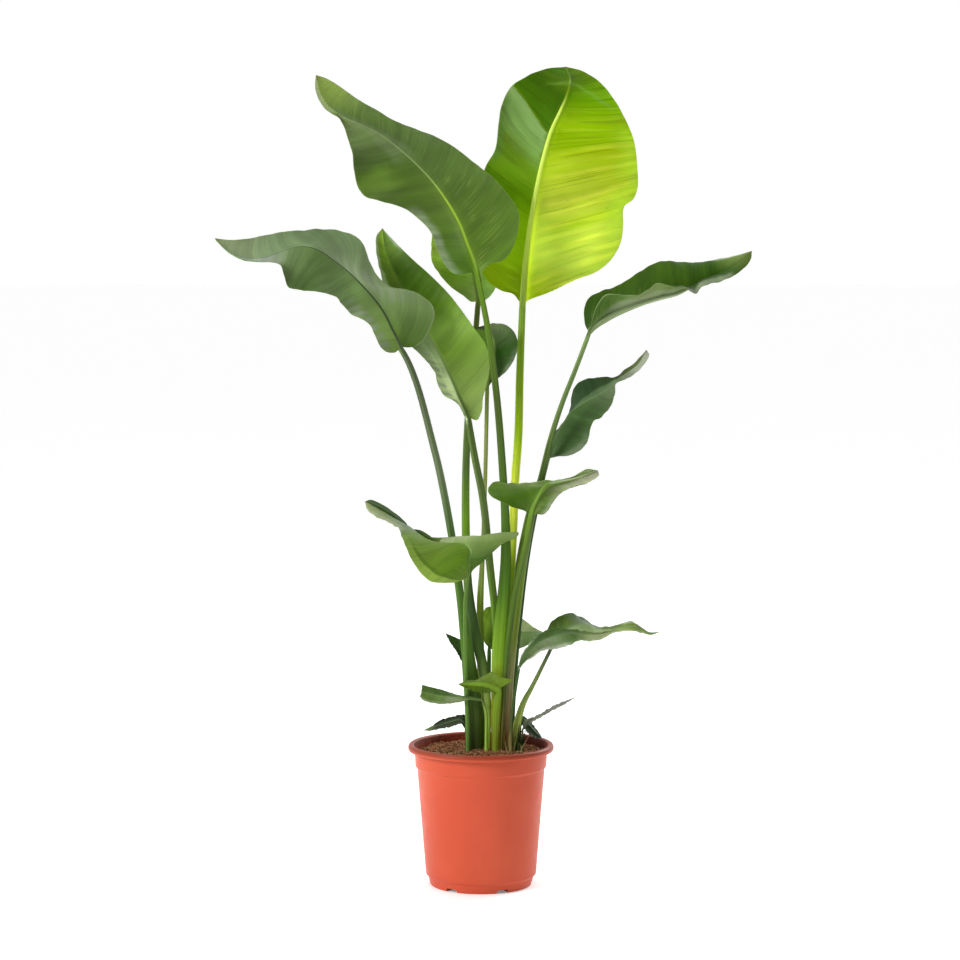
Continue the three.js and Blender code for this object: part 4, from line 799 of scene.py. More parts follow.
class LeafForm:
    """One leaf as an upper and a lower sheet of points: rings of the stalk, then rows of the blade."""

    def __init__(self, leaf, pleat, seed):
        self.leaf = leaf
        self.pleat = pleat
        self.seed = seed
        rows, columns, stalk_rows = leaf["grid"]
        self.rows = rows * ROWS_FINER + 1
        self.columns = columns * COLUMNS_FINER + RIB_COLUMNS
        self.stalk_rows = stalk_rows * STALK_ROWS_FINER
        *top, self.half_width, self.half_depth = leaf["stalk"][-1]

        def deepen(points):
            return in_sight([[x, top[1] + (y - top[1]) * leaf["deep"], z] for x, y, z in points])

        self.base = in_sight([top])[0]
        self.rib = np.vstack([self.base, deepen(leaf["rib"])])
        self.edges = {-1: deepen(leaf["left"]), 1: deepen(leaf["right"])}
        base_along = unit(self.rib[1] - self.rib[0])
        across_base = self.edges[1][:2].sum(axis=0) - self.edges[-1][:2].sum(axis=0)
        self.base_side = unit(across_base - base_along * np.dot(across_base, base_along))
        self.base_up = np.cross(self.base_side, base_along)
        self.rib_points, _, rib_length = spaced(self.rib, self.rows)
        self.along = directions(self.rib_points)
        self.t = np.linspace(0, 1, self.rows)
        self.distance = self.t * rib_length
        self.rib_half = self.half_width * (1 - self.t) ** RIB_TAPER + RIB_TIP_HALF_WIDTH * self.t

    def shares(self, first, strip):
        """The share of each column in a half: round the rib, over the blade, and at the margin."""
        over_rib = np.sin(math.pi / 2 * np.arange(1, RIB_COLUMNS + 1) / RIB_COLUMNS)
        over_blade = np.arange(1, self.columns - RIB_COLUMNS) / (self.columns - 1 - RIB_COLUMNS)
        blade = first + (1 - first) * (1 - strip) * over_blade
        return np.hstack([first * over_rib, blade, np.ones((self.rows, 1))])

    def half(self, sign, phase, ruffle):
        """One half of the blade, by column from the midrib to the margin."""
        start = self.base + self.base_side * sign * self.half_width
        margin, _, _ = spaced(np.vstack([start, self.edges[sign], self.rib[-1]]), self.rows)
        arm = margin - self.rib_points
        arm_length = np.maximum(np.linalg.norm(arm, axis=1), 1e-6)
        up = unit(np.cross(unit(arm) * sign, self.along))
        lengthwise = np.sum(arm * self.along, axis=1)[:, None]
        sideways = np.linalg.norm(arm - self.along * lengthwise, axis=1)[:, None]
        first = np.minimum(self.rib_half / arm_length, RIB_MOST_SHARE)[:, None]
        strip = np.minimum(MARGIN_STRIP / arm_length, MARGIN_MOST_SHARE)[:, None]
        share = self.shares(first, strip)
        x = sideways * share
        vein = self.distance[:, None] + lengthwise * share - VEIN_SLANT * x - VEIN_CURVE * x ** 2
        cup = self.leaf["cup"][0 if sign < 0 else 1]
        wave_height, waves = self.leaf["wave"]
        ripple = np.sin(TURN * waves * self.t + phase)[:, None]
        small = sum(np.sin(TURN * n * self.t + r) for n, r in zip(MARGIN_RUFFLE_WAVES, ruffle))[:, None]
        lift = cup * 4 * share * (1 - share) + wave_height * share ** 2 * ripple
        lift += MARGIN_RUFFLE * share ** 4 * small
        lift += self.pleat * folds(vein, self.seed + sign) * ease(*PLEAT_SHARES, share) * (1 - 0.5 * share)
        fullness = np.sin(np.pi * self.t).clip(0) ** 0.6
        return {
            "grid": self.rib_points[:, None] + arm[:, None] * share[..., None]
                    + up[:, None] * (lift * fullness[:, None])[..., None],
            "across": sign * share,
            "reach": sign * x,
            "vein": vein,
            "rib": np.sqrt(np.clip(1 - (share / first) ** 2, 0, 1)),
            "up": np.broadcast_to(up[:, None], share.shape + (3,)),
        }

    def blade(self):
        """The blade's two sheets, and the numbers at the points of each."""
        rng = np.random.default_rng(self.seed)
        left = self.half(-1, 0.0, rng.uniform(0, TURN, 3))
        right = self.half(1, RIGHT_WAVE_PHASE, rng.uniform(0, TURN, 3))
        none = np.zeros(self.rows)
        middle = {
            "grid": self.rib_points, "across": none, "reach": none, "vein": self.distance,
            "rib": np.ones(self.rows), "up": unit(left["up"][:, 0] + right["up"][:, 0]),
        }
        values = {
            key: np.concatenate([left[key][:, ::-1], middle[key][:, None], right[key]], axis=1)
            for key in middle
        }
        grid, row_up = values.pop("grid"), values.pop("up")
        tip_side = grid[-2, -1] - grid[-2, 0]
        tip_half = min(TIP_HALF_WIDTH, 0.3 * np.linalg.norm(tip_side))
        spread = np.linspace(-1, 1, grid.shape[1])[:, None]
        grid[-1] = self.rib_points[-1] + unit(tip_side) * tip_half * spread

        # Where the blade is narrow, and where it joins the stalk, its own normals are not trusted
        sideward = steps_along(grid.swapaxes(0, 1)).swapaxes(0, 1)
        normal = unit(np.cross(sideward, steps_along(grid)))
        breadth = np.linalg.norm(grid[:, -1] - grid[:, 0], axis=1)
        trust = ease(*NARROW_BLADE, breadth)[:, None, None]
        normal = unit(row_up * (1 - trust) + normal * trust)
        joined = ease(0, STALK_TURN_LENGTH, self.distance)[:, None, None]
        normal = unit(self.base_up * (1 - joined) + normal * joined)

        # Half the thickness to each side, with the midrib standing out below and grooved above
        flat = ease(0, STALK_ROUND_LENGTH, self.distance)[:, None]
        dome = np.sqrt(np.clip(1 - (np.abs(values["reach"]) / self.half_width) ** 2, 0, 1))
        half = np.full(dome.shape, BLADE_THICKNESS / 2)
        half[:, 0] = half[:, -1] = MARGIN_THICKNESS / 2
        half += (1 - flat) * np.clip(self.half_depth * dome - half, 0, None)
        rib_depth = (2 * self.half_depth - SOLID_THICKNESS) * (1 - self.t) ** RIB_TAPER + RIB_STANDS_OUT
        groove = GROOVE_DEPTH * self.half_depth * (1 - self.t)[:, None]
        groove = groove * np.exp(-(values["reach"] / (GROOVE_WIDTH * self.rib_half[:, None])) ** 2)
        upper = grid + normal * (half - groove)[..., None]
        lower = grid - normal * (half + flat * rib_depth[:, None] * values["rib"])[..., None]
        values["along"] = np.broadcast_to(self.t[:, None], half.shape)
        values["stem"] = values["rib"] * np.exp(-self.distance / STALK_COLOUR_LENGTH)[:, None]
        return upper, lower, values

    def stalk(self, ring):
        """The stalk's two sheets below the blade, and the numbers at the points of each."""
        stalk = np.array(self.leaf["stalk"], float)
        points, places, length = spaced(in_sight(stalk[:, :3]), self.stalk_rows + 1)
        order = np.arange(len(stalk))
        widths = np.interp(places, order, stalk[:, 3])[:, None]
        depths = np.interp(places, order, stalk[:, 4])[:, None]
        f = (np.arange(self.stalk_rows + 1) / self.stalk_rows)[:, None]
        along = directions(points)
        start_side = np.array([1.0 if self.base_side[0] >= 0 else -1.0, 0, 0])
        mixed = start_side * (1 - f) + self.base_side * f
        side = unit(mixed - along * np.sum(mixed * along, axis=1)[:, None])
        up = np.cross(side, along)[:, None]
        reach = widths * ring
        height = depths * np.sqrt(np.clip(1 - ring ** 2, 0, 1))
        groove = GROOVE_DEPTH * (0.25 + 0.75 * f) * depths * np.exp(-(ring / GROOVE_WIDTH) ** 2)
        flat = points[:, None] + side[:, None] * reach[..., None]
        upper = flat + up * (height - groove)[..., None]
        lower = flat - up * height[..., None]
        ones = np.ones_like(reach)
        values = {"across": ring * ones, "reach": reach, "vein": (f - 1) * length * ones,
                  "rib": ones, "along": 0 * ones, "stem": ones}
        return upper[:-1], lower[:-1], {key: numbers[:-1] for key, numbers in values.items()}

    def build(self, name):
        """The leaf as one closed skin over its two sheets."""
        upper, lower, values = self.blade()
        first_row = values["across"][0]
        stalk_upper, stalk_lower, stalk_values = self.stalk(first_row / np.abs(first_row).max())
        upper = np.concatenate([stalk_upper, upper])
        lower = np.concatenate([stalk_lower, lower])
        index = np.arange(upper[..., 0].size).reshape(upper.shape[:2])
        offset = index.size
        a, b, c, d = index[:-1, :-1], index[:-1, 1:], index[1:, 1:], index[1:, :-1]
        above = np.stack([a, b, c, d], -1).reshape(-1, 4)
        quads = [above, above[:, ::-1] + offset]
        for rim in (index[:, -1], index[0]):
            here, ahead = rim[:-1], rim[1:]
            quads.append(np.stack([here, here + offset, ahead + offset, ahead], -1))
        for rim in (index[:, 0], index[-1]):
            here, ahead = rim[:-1], rim[1:]
            quads.append(np.stack([here, ahead, ahead + offset, here + offset], -1))
        sheets = {key: np.concatenate([stalk_values[key], values[key]]).ravel() for key in values}
        sheets = {key: np.concatenate([numbers, numbers]) for key, numbers in sheets.items()}
        sheets["face"] = np.repeat([1.0, 0.0], offset)
        points = np.concatenate([upper.reshape(-1, 3), lower.reshape(-1, 3)])
        leaf = as_mesh(name, points, np.concatenate(quads), sheets)

        # The two sheets meet at the stalk's sides, where their points are joined
        shape = bmesh.new()
        shape.from_mesh(leaf.data)
        bmesh.ops.remove_doubles(shape, verts=shape.verts, dist=JOIN_DISTANCE * MM)
        shape.to_mesh(leaf.data)
        shape.free()
        return leaf


# Materials

class Shader:
    """The nodes of a material or a world, with short ways to add the ones used here."""

    def __init__(self, owner):
        owner.use_nodes = True
        self.owner = owner
        self.tree = owner.node_tree
        self.tree.nodes.clear()

    def node(self, kind, inputs, out=0, **settings):
        """Adds a node with these inputs and settings, and gives one of its outputs, or several."""
        made = self.tree.nodes.new("ShaderNode" + kind)
        for key, value in settings.items():
            setattr(made, key, value)
        for key, value in inputs.items():
            if isinstance(value, bpy.types.NodeSocket):
                self.tree.links.new(value, made.inputs[key])
            else:
                made.inputs[key].default_value = value
        return made.outputs[out]

    def attribute(self, name):
        return self.node("Attribute", {}, "Fac", attribute_name=name)

    def coordinates(self, kind="Object"):
        return self.node("TexCoord", {}, kind)

    def split(self, vector):
        return self.node("SeparateXYZ", {0: vector}, slice(3))

    def join(self, x, y, z):
        return self.node("CombineXYZ", {0: x, 1: y, 2: z})

    def stretched(self, vector, z_scale):
        return self.node("Mapping", {"Vector": vector, "Scale": (1.0, 1.0, z_scale)})

    def math(self, operation, a, b=0.0, clamp=False):
        return self.node("Math", {0: a, 1: b}, operation=operation, use_clamp=clamp)

    def plus(self, first, *others):
        for other in others:
            first = self.math("ADD", first, other)
        return first

    def times(self, first, *others):
        for other in others:
            first = self.math("MULTIPLY", first, other)
        return first

    def over(self, value, divisor):
        return self.math("DIVIDE", value, divisor)

    def less(self, value):
        """What is left of one."""
        return self.math("SUBTRACT", 1.0, value)

    def lean(self, noise, weight):
        """Noise about zero instead of a half, by weight."""
        return self.times(self.math("SUBTRACT", noise, 0.5), weight)

    def noise(self, vector, scale, detail=2.0, roughness=0.5):
        inputs = {"Vector": vector, "Scale": scale, "Detail": detail, "Roughness": roughness}
        return self.node("TexNoise", inputs, "Fac")

    def fit(self, value, low, high, to_low=0.0, to_high=1.0):
        inputs = {0: value, 1: low, 2: high, 3: to_low, 4: to_high}
        return self.node("MapRange", inputs, interpolation_type="SMOOTHSTEP")

    def window(self, value, bounds):
        """One between the two inner bounds, down to nothing at the outer ones."""
        low, low_full, high_full, high = bounds
        return self.times(self.fit(value, low, low_full), self.fit(value, high_full, high, 1.0, 0.0))

    def mix(self, factor, a, b, mode="MIX"):
        return self.node("Mix", {0: factor, 6: a, 7: b}, 2, data_type="RGBA", blend_type=mode)

    def shaded(self, colour, shade):
        """The colour, lighter or darker by the shade."""
        return self.mix(1.0, colour, self.join(shade, shade, shade), mode="MULTIPLY")

    def ramp(self, factor, stops):
        """Screen colours by the factor, as (place, colour)."""
        colours = self.node("ValToRGB", {0: factor})
        elements = colours.node.color_ramp.elements
        elements.remove(elements[1])
        elements[0].position = stops[0][0]
        elements[0].color = paint(stops[0][1])
        for at, colour in stops[1:]:
            elements.new(at).color = paint(colour)
        return colours

    def bump(self, height, distance, strength):
        return self.node("Bump", {"Height": height, "Distance": distance, "Strength": strength})

    def surface(self, colour, roughness, gloss, **others):
        inputs = {"Base Color": colour, "Roughness": roughness, "Specular IOR Level": gloss}
        others = {key.replace("_", " "): value for key, value in others.items()}
        return self.node("BsdfPrincipled", {**inputs, **others})

    def finish(self, shader, kind="Material"):
        output = self.tree.nodes.new("ShaderNodeOutput" + kind)
        self.tree.links.new(shader, output.inputs["Surface"])
        return self.owner


# Noise along a leaf's side veins: breadth and length in millimetres, detail, and shift between the kinds
FINE_STREAKS = (0.9, 60, 1.0, 0.0)
MIDDLE_STREAKS = (4.0, 110, 1.0, 9.1)
BROAD_STREAKS = (17.0, 150, 0.0, 17.7)
THIN_LINES = (2.4, 130, 0.0, 31.0)
TICKS = (2.6, 34, 0.0, 47.0)
BAND_DRIFT = (34.0, 120, 1.0, 61.0)
BAND_STRENGTH = (21.0, 90, 0.0, 71.0)
DRIFT_LENGTH = 26.0

# Bands of painted light and shade on the folds: where in each period the highlight and the shade lie
FOLD_HIGHLIGHT_BAND = (0.02, 0.14, 0.3, 0.75)
FOLD_SHADE_BAND = (0.7, 0.93, 0.97, 1.0)

# How far the edges of a mark wander in each coordinate
ACROSS_WANDER = 0.3
ALONG_WANDER = 0.05
VEIN_WANDER = 9.0

# The line along the midrib's upper face: how it narrows, and its least half width in millimetres
RIB_LINE_TAPER = 1.3
RIB_LINE_LEAST = 0.35

MARGIN_COLOUR = "#96ac60"
DRY_TIP_COLOUR = "#78683c"
FLECK_COLOUR = "#605434"

# Spans of the noise over which thin lines fade out, and ticks and flecks in
THIN_LINE_NOISE = (0.31, 0.38)
TICK_NOISE = (0.6, 0.68)
FLECK_NOISE = (0.75, 0.79)

# Where ticks, margin and dry tip lie on the blade, in shares of its width or length
TICK_ZONE = (0.12, 0.3, 0.5, 0.85)
MARGIN_ZONE = (0.975, 0.998)
DRY_TIP_ZONE = (0.975, 1.0)

# The darkest and lightest shade of blade and stalk, and the relief as depth in metres and strength
BLADE_SHADES = (0.78, 1.22)
STALK_SHADES = (0.74, 1.18)
SKIN_RELIEF = (0.0006, 0.5)

# The height that the stalk's colour ramp spans, in millimetres
RAMP_HEIGHT = 1200


class LeafShader(Shader):
    """A leaf's skin, painted by the numbers at its points."""

    def __init__(self, name, look, rib_width, seed):
        super().__init__(bpy.data.materials.new(name))
        self.look = look
        self.rib_width = rib_width
        self.seed = seed
        self.across, self.reach, self.vein = (self.attribute(key) for key in ("across", "reach", "vein"))
        self.along, self.stem, self.rib = (self.attribute(key) for key in ("along", "stem", "rib"))
        self.upper = self.attribute("face")
        self.lower = self.less(self.upper)
        self.shown, self.hidden = self.upper, self.lower
        if not look["shown"]:
            self.shown, self.hidden = self.lower, self.upper
        self.place = self.coordinates()
        self.aside = self.math("ABSOLUTE", self.across)
        self.fine = self.streaks(*FINE_STREAKS)
        self.middle = self.streaks(*MIDDLE_STREAKS)
        self.patch = self.noise(self.place, 11.0)
        drift = self.lean(self.streaks(*BAND_DRIFT), DRIFT_LENGTH)
        self.drifted = self.plus(self.vein, drift)

    def streaks(self, breadth, length, detail, shift):
        vector = self.join(self.over(self.vein, breadth), self.over(self.reach, length), self.seed + shift)
        return self.noise(vector, 1.0, detail)

    def shade(self):
        """Uneven tone along the side veins, with thin dark lines."""
        streak = self.look["streak"]
        tone = self.plus(
            self.lean(self.fine, 0.3 * streak), self.lean(self.middle, 0.5 * streak),
            self.lean(self.streaks(*BROAD_STREAKS), 0.9 * streak), self.lean(self.patch, 0.9),
        )
        thin_line = self.fit(self.streaks(*THIN_LINES), *THIN_LINE_NOISE, self.look["lines"], 0.0)
        return self.times(self.fit(tone, -0.5, 0.5, *BLADE_SHADES), self.less(thin_line))

    def halves(self):
        """The two halves of the face that shows, with their painted light and shade, and the other face."""
        left, right = (self.ramp(self.along, self.look[key]) for key in ("left", "right"))
        other = self.look["other"]
        if isinstance(other, str):
            other = [(0.0, other)]
        shown = self.mix(self.fit(self.across, -0.03, 0.03), left, right)
        return self.mix(self.hidden, shown, self.ramp(self.along, other))

    def bands(self, blade):
        """Painted light and shade on the folds: bands between the side veins, pale at one edge, dark at the
        other.
        """
        period, strength, half, highlight_colour, shade_colour = self.look["comb"]
        tooth = self.math("FRACT", self.over(self.drifted, period))
        uneven = self.fit(self.streaks(*BAND_STRENGTH), 0.35, 0.6, 0.35, 1.0)
        on_half = self.fit(self.times(self.across, half), 0.02, 0.2)
        near = self.fit(self.along, 0.6, 0.76, 1.0, 0.35)
        amount = self.times(uneven, on_half, strength, near)
        for colour, bounds in ((highlight_colour, FOLD_HIGHLIGHT_BAND), (shade_colour, FOLD_SHADE_BAND)):
            blade = self.mix(self.times(self.window(tooth, bounds), amount), blade, paint(colour))
        return blade

    def marks(self, blade):
        """Patches of painted sheen, highlight and shade, and pale margins, set by place, with uneven edges.
        """
        wander = self.lean(self.noise(self.place, 34.0), 1.0)
        ways = (("across", self.across, ACROSS_WANDER), ("along", self.along, ALONG_WANDER),
                ("vein", self.vein, VEIN_WANDER))
        for strength, colour, bounds in self.look["marks"]:
            cover = self.times(strength, self.hidden if bounds.get("other") else self.shown)
            for way, value, uneven in ways:
                if way not in bounds:
                    continue
                value = self.plus(value, self.times(wander, uneven * bounds.get("loose", 1.0)))
                if way != "across" and "lean" in bounds:
                    value = self.plus(value, self.times(self.across, bounds["lean"]))
                if way != "across" and "bow" in bounds:
                    value = self.plus(value, self.times(self.math("POWER", self.aside, 2.0), bounds["bow"]))
                cover = self.times(cover, self.window(value, bounds[way]))
            if "comb" in bounds:
                period, least = bounds["comb"]
                wave = self.math("PINGPONG", self.drifted, period / 2)
                cover = self.times(cover, self.fit(wave, 0, period / 2, least, 1.0))
            blade = self.mix(cover, blade, paint(colour))
        return blade

    def midrib(self, blade):
        """A thin line above, the whole raised rib below and a painted highlight beside it, fading to the
        tip.
        """
        off_rib = self.math("ABSOLUTE", self.reach)
        left = self.math("SUBTRACT", 1.0, self.along, clamp=True)
        line_width = self.times(self.math("POWER", left, RIB_LINE_TAPER), self.rib_width)
        line_width = self.plus(line_width, RIB_LINE_LEAST)
        on_line = self.fit(self.over(off_rib, line_width), 0.75, 1.15, 1.0, 0.0)
        on_rib = self.math("MAXIMUM", self.times(self.fit(self.rib, 0.1, 0.7), self.lower),
                           self.times(on_line, self.upper))
        halo_from, halo_to, halo_left, halo_right = self.look["halo"]
        halo_strength = self.fit(self.across, -0.03, 0.03, halo_left, halo_right)
        halo = self.times(self.fit(off_rib, halo_from, halo_to, 1.0, 0.0), halo_strength,
                          self.fit(self.along, 0.2, 0.6, 1.0, 0.25))
        fade = self.fit(self.along, *self.look["rib_end"], 1.0, self.look["rib_last"])
        above, below = (paint(colour) for colour in self.look["rib"])
        if "rib_far" in self.look:
            above = self.mix(self.fit(self.along, 0.3, 0.5), above, paint(self.look["rib_far"]))
        cover = self.times(self.math("MAXIMUM", on_rib, halo), fade)
        return self.mix(cover, blade, self.mix(self.upper, below, above))

    def ticks(self, blade):
        """Paler ticks where side veins stand out near the midrib."""
        tick = self.fit(self.streaks(*TICKS), *TICK_NOISE)
        zone = self.window(self.aside, TICK_ZONE)
        strength = self.fit(self.across, -0.05, 0.05, *self.look["ticks"])
        cover = self.times(tick, zone, strength, self.fit(self.along, 0.35, 0.55, 1.0, 0.25))
        return self.mix(cover, blade, paint(self.look["tick_colour"]))

    def ends(self, blade):
        """A pale margin and a dry tip."""
        margin = self.times(self.fit(self.aside, *MARGIN_ZONE), 0.3)
        blade = self.mix(margin, blade, paint(MARGIN_COLOUR))
        dry_tip = self.times(self.fit(self.along, *DRY_TIP_ZONE), 0.7)
        return self.mix(dry_tip, blade, paint(DRY_TIP_COLOUR))

    def stalk(self, lines):
        """The stalk's colours by height, which also paint its light and shade, with lines along it."""
        height = self.over(self.split(self.place)[2], RAMP_HEIGHT * MM)
        stalk = self.ramp(height, [(z / RAMP_HEIGHT, colour) for z, colour in self.look["stalk"]])
        return self.shaded(stalk, self.fit(lines, 0.3, 0.7, *STALK_SHADES))

    def build(self):
        look = self.look
        blade = self.halves()
        if "comb" in look:
            blade = self.bands(blade)
        blade = self.shaded(self.marks(blade), self.shade())
        blade = self.ends(self.ticks(self.midrib(blade)))
        lines = self.join(self.over(self.reach, 0.7), self.over(self.vein, 120.0), self.seed + 3.3)
        lines = self.noise(lines, 1.0)
        colour = self.mix(self.stem, blade, self.stalk(lines))
        fleck = self.fit(self.noise(self.place, 260.0, 1.0), *FLECK_NOISE, 0.0, 0.4)
        colour = self.mix(fleck, colour, paint(FLECK_COLOUR))

        # The skin, and the light that comes through the blade but not through the stalk
        relief = self.plus(self.times(self.fine, 0.2), self.times(self.middle, 0.7))
        relief = self.plus(self.times(relief, self.less(self.stem)), self.times(lines, self.stem, 0.6))
        normal = self.bump(relief, *SKIN_RELIEF)
        rough = self.fit(self.patch, 0.3, 0.7, look["rough"] - 0.05, look["rough"] + 0.08)
        surface = self.surface(colour, rough, look["gloss"], Normal=normal)
        glow = self.mix(1.0, colour, look["glow"] + (1.0,), mode="MULTIPLY")
        let_through = self.node("BsdfTranslucent", {"Color": glow, "Normal": normal})
        solid = self.math("MAXIMUM", self.stem, self.times(self.rib, 0.7))
        share = self.times(self.less(solid), look["through"])
        return self.finish(self.node("MixShader", {0: share, 1: surface, 2: let_through}))


# The pot: heights in metres over which the lip darkens and the dust ends, and its relief
LIP_HEIGHTS = (0.1965, 0.201)
DUST_HEIGHT = 0.03
POT_GLOSS = 0.17
POT_RELIEF = (0.0003, 0.35)


def pot_material():
    s = Shader(bpy.data.materials.new("pot plastic"))
    place = s.coordinates()
    x, _, height = s.split(place)
    inner = s.attribute("inner")
    colour = s.mix(s.fit(s.noise(place, 9.0, 3.0), 0.3, 0.7), paint("#bf4c31"), paint("#c75437"))

    # A darker lip, dust near the floor, scuffs round the wall
    lip = s.times(s.fit(height, *LIP_HEIGHTS), 0.85)
    colour = s.mix(lip, colour, paint("#803621"))
    dust = s.noise(place, 60.0, 6.0, 0.65)
    low = s.fit(height, 0.0, DUST_HEIGHT, 1.0, 0.0)
    dusty = s.times(s.fit(dust, 0.52, 0.72), low, 0.45)
    colour = s.mix(dusty, colour, paint("#ba7054"))
    scuffs = s.fit(s.noise(s.stretched(place, 8.0), 120.0, 4.0, 0.6), 0.66, 0.74, 0.0, 0.22)
    colour = s.mix(scuffs, colour, paint("#d67458"))

    # The inner wall is darkened by painted shade, more towards the right, and has splashes of soil
    inner_shade = s.times(inner, s.fit(x, -0.05, 0.05, 0.6, 0.88))
    colour = s.mix(inner_shade, colour, paint("#602618"))
    splash = s.times(s.fit(s.noise(place, 170.0, 5.0, 0.7), 0.5, 0.62), inner, 0.65)
    colour = s.mix(splash, colour, paint("#321c12"))
    rough = s.plus(s.fit(dust, 0.3, 0.7, 0.36, 0.46), s.times(inner, 0.3))
    relief = s.plus(s.times(s.noise(place, 900.0), 0.4), s.times(scuffs, -0.8))
    return s.finish(s.surface(colour, rough, POT_GLOSS, Normal=s.bump(relief, *POT_RELIEF)))


LITTER_GLOSS = 0.15


def litter_material(name, tones, z_scale, noise, shades, roughness, relief):
    """Soil or old sheath: colours by tone, uneven by a fine grain."""
    s = Shader(bpy.data.materials.new(name))
    grain = s.noise(s.stretched(s.coordinates(), z_scale), *noise)
    colour = s.shaded(s.ramp(s.attribute("tone"), tones), s.fit(grain, *shades))
    return s.finish(s.surface(colour, roughness, LITTER_GLOSS, Normal=s.bump(grain, *relief)))


def floor_material():
    s = Shader(bpy.data.materials.new("studio floor"))
    colour = s.mix(s.noise(s.coordinates(), 2.0), paint("#f9f9f9"), paint("#fbfbfb"))
    white = (1.0, 1.0, 1.0, 1.0)
    return s.finish(s.surface(colour, 0.85, 0.1, Emission_Color=white, Emission_Strength=FLOOR_GLOW))


# Pot

def round_corners(profile, radius, steps=4):
    """The profile with each corner replaced by a short curve."""
    points = [np.array(p, float) for p in profile]
    rounded = [points[0]]
    for before, corner, after in zip(points, points[1:], points[2:]):
        back, ahead = before - corner, after - corner
        sides = min(np.linalg.norm(back), np.linalg.norm(ahead))
        reach = min(radius, CORNER_MOST_SHARE * sides)
        start = corner + unit(back) * reach
        end = corner + unit(ahead) * reach
        for step in range(steps + 1):
            w = step / steps
            rounded.append((1 - w) ** 2 * start + 2 * w * (1 - w) * corner + w ** 2 * end)
    rounded.append(points[-1])
    return rounded


def round_faces(rings, sides):
    """Faces over rings of points from a first to a last middle point, which follow them in the list."""
    index = np.arange(rings * sides).reshape(rings, sides)
    ahead = np.roll(index, -1, axis=1)
    faces = np.stack([index[:-1], index[1:], ahead[1:], ahead[:-1]], -1).reshape(-1, 4).tolist()
    faces += [(index.size, here, after) for here, after in zip(index[0], ahead[0])]
    return faces + [(index.size + 1, after, here) for here, after in zip(index[-1], ahead[-1])]


def notch_cutters():
    """Blocks to cut the notches with, a little narrower at the top."""
    cutters = bmesh.new()
    for i in range(NOTCH_COUNT):
        angle = math.radians(NOTCH_FIRST_ANGLE + 360 / NOTCH_COUNT * i)
        for vertex in bmesh.ops.create_cube(cutters, size=1.0)["verts"]:
            x = NOTCH_INNER_RADIUS + NOTCH_REACH / 2 + vertex.co.x * NOTCH_REACH
            y = vertex.co.y * NOTCH_WIDTH * (NOTCH_TOP_SHARE if vertex.co.z > 0 else NOTCH_BOTTOM_SHARE)
            vertex.co = Vector((
                (x * math.cos(angle) - y * math.sin(angle)) * MM,
                (x * math.sin(angle) + y * math.cos(angle)) * MM,
                vertex.co.z * 2 * NOTCH_HEIGHT * MM,
            ))
    mesh = bpy.data.meshes.new("notches")
    cutters.to_mesh(mesh)
    cutters.free()
    cutter = bpy.data.objects.new("notches", mesh)
    bpy.context.scene.collection.objects.link(cutter)
    return cutter


def build_pot():
    turned = round_corners(POT_PROFILE, CORNER_RADIUS)[1:-1]
    top_ring = next(i for i, (_, height) in enumerate(turned) if height >= INNER_WALL_TOP)
    angles = [TURN * side / POT_SIDES for side in range(POT_SIDES)]
    points = [(r * math.cos(a), r * math.sin(a), height) for r, height in turned for a in angles]
    points += [(0, 0, FLOOR_THICKNESS), (0, 0, 0)]
    inner = np.zeros(len(points))
    inner[:top_ring * POT_SIDES] = 1
    inner[-2] = 1
    pot = as_mesh("pot_fine", points, round_faces(len(turned), POT_SIDES), {"inner": inner})
    cutter = notch_cutters()
    cut = pot.modifiers.new("notches", "BOOLEAN")
    cut.operation = "DIFFERENCE"
    cut.object = cutter
    cut.solver = "EXACT"
    bpy.context.view_layer.update()
    finished = bpy.data.meshes.new_from_object(pot.evaluated_get(bpy.context.evaluated_depsgraph_get()))
    pot.modifiers.clear()
    pot.data = finished
    bpy.data.objects.remove(cutter)
    finished.polygons.foreach_set("use_smooth", [True] * len(finished.polygons))
    finished.set_sharp_from_angle(angle=math.radians(SHARP_ANGLE))
    return pot


# Soil

def soil_height(x, y):
    mound = SOIL_MOUND * (1 - (x * x + y * y) / (COLLAR_RADIUS * COLLAR_RADIUS))
    lumps = np.sin(x * 0.21 + 1.3) * np.cos(y * 0.27) + 0.6 * np.sin(x * 0.47 - y * 0.39)
    return SOIL_LEVEL + mound + SOIL_LUMPS * lumps


def small_lumps(x, y, rng):
    total = np.zeros_like(x)
    for length, height in SOIL_FINE_LUMPS:
        for _ in range(3):
            turn = rng.uniform(0, TURN)
            wave = (x * math.cos(turn) + y * math.sin(turn)) / length
            total += height * np.sin(TURN * wave + rng.uniform(0, 6)) / 1.5
    return total


def spot_on_soil(rng, limit):
    distance = limit * math.sqrt(rng.uniform(0, 1))
    turn = rng.uniform(0, TURN)
    return distance * math.cos(turn), distance * math.sin(turn)


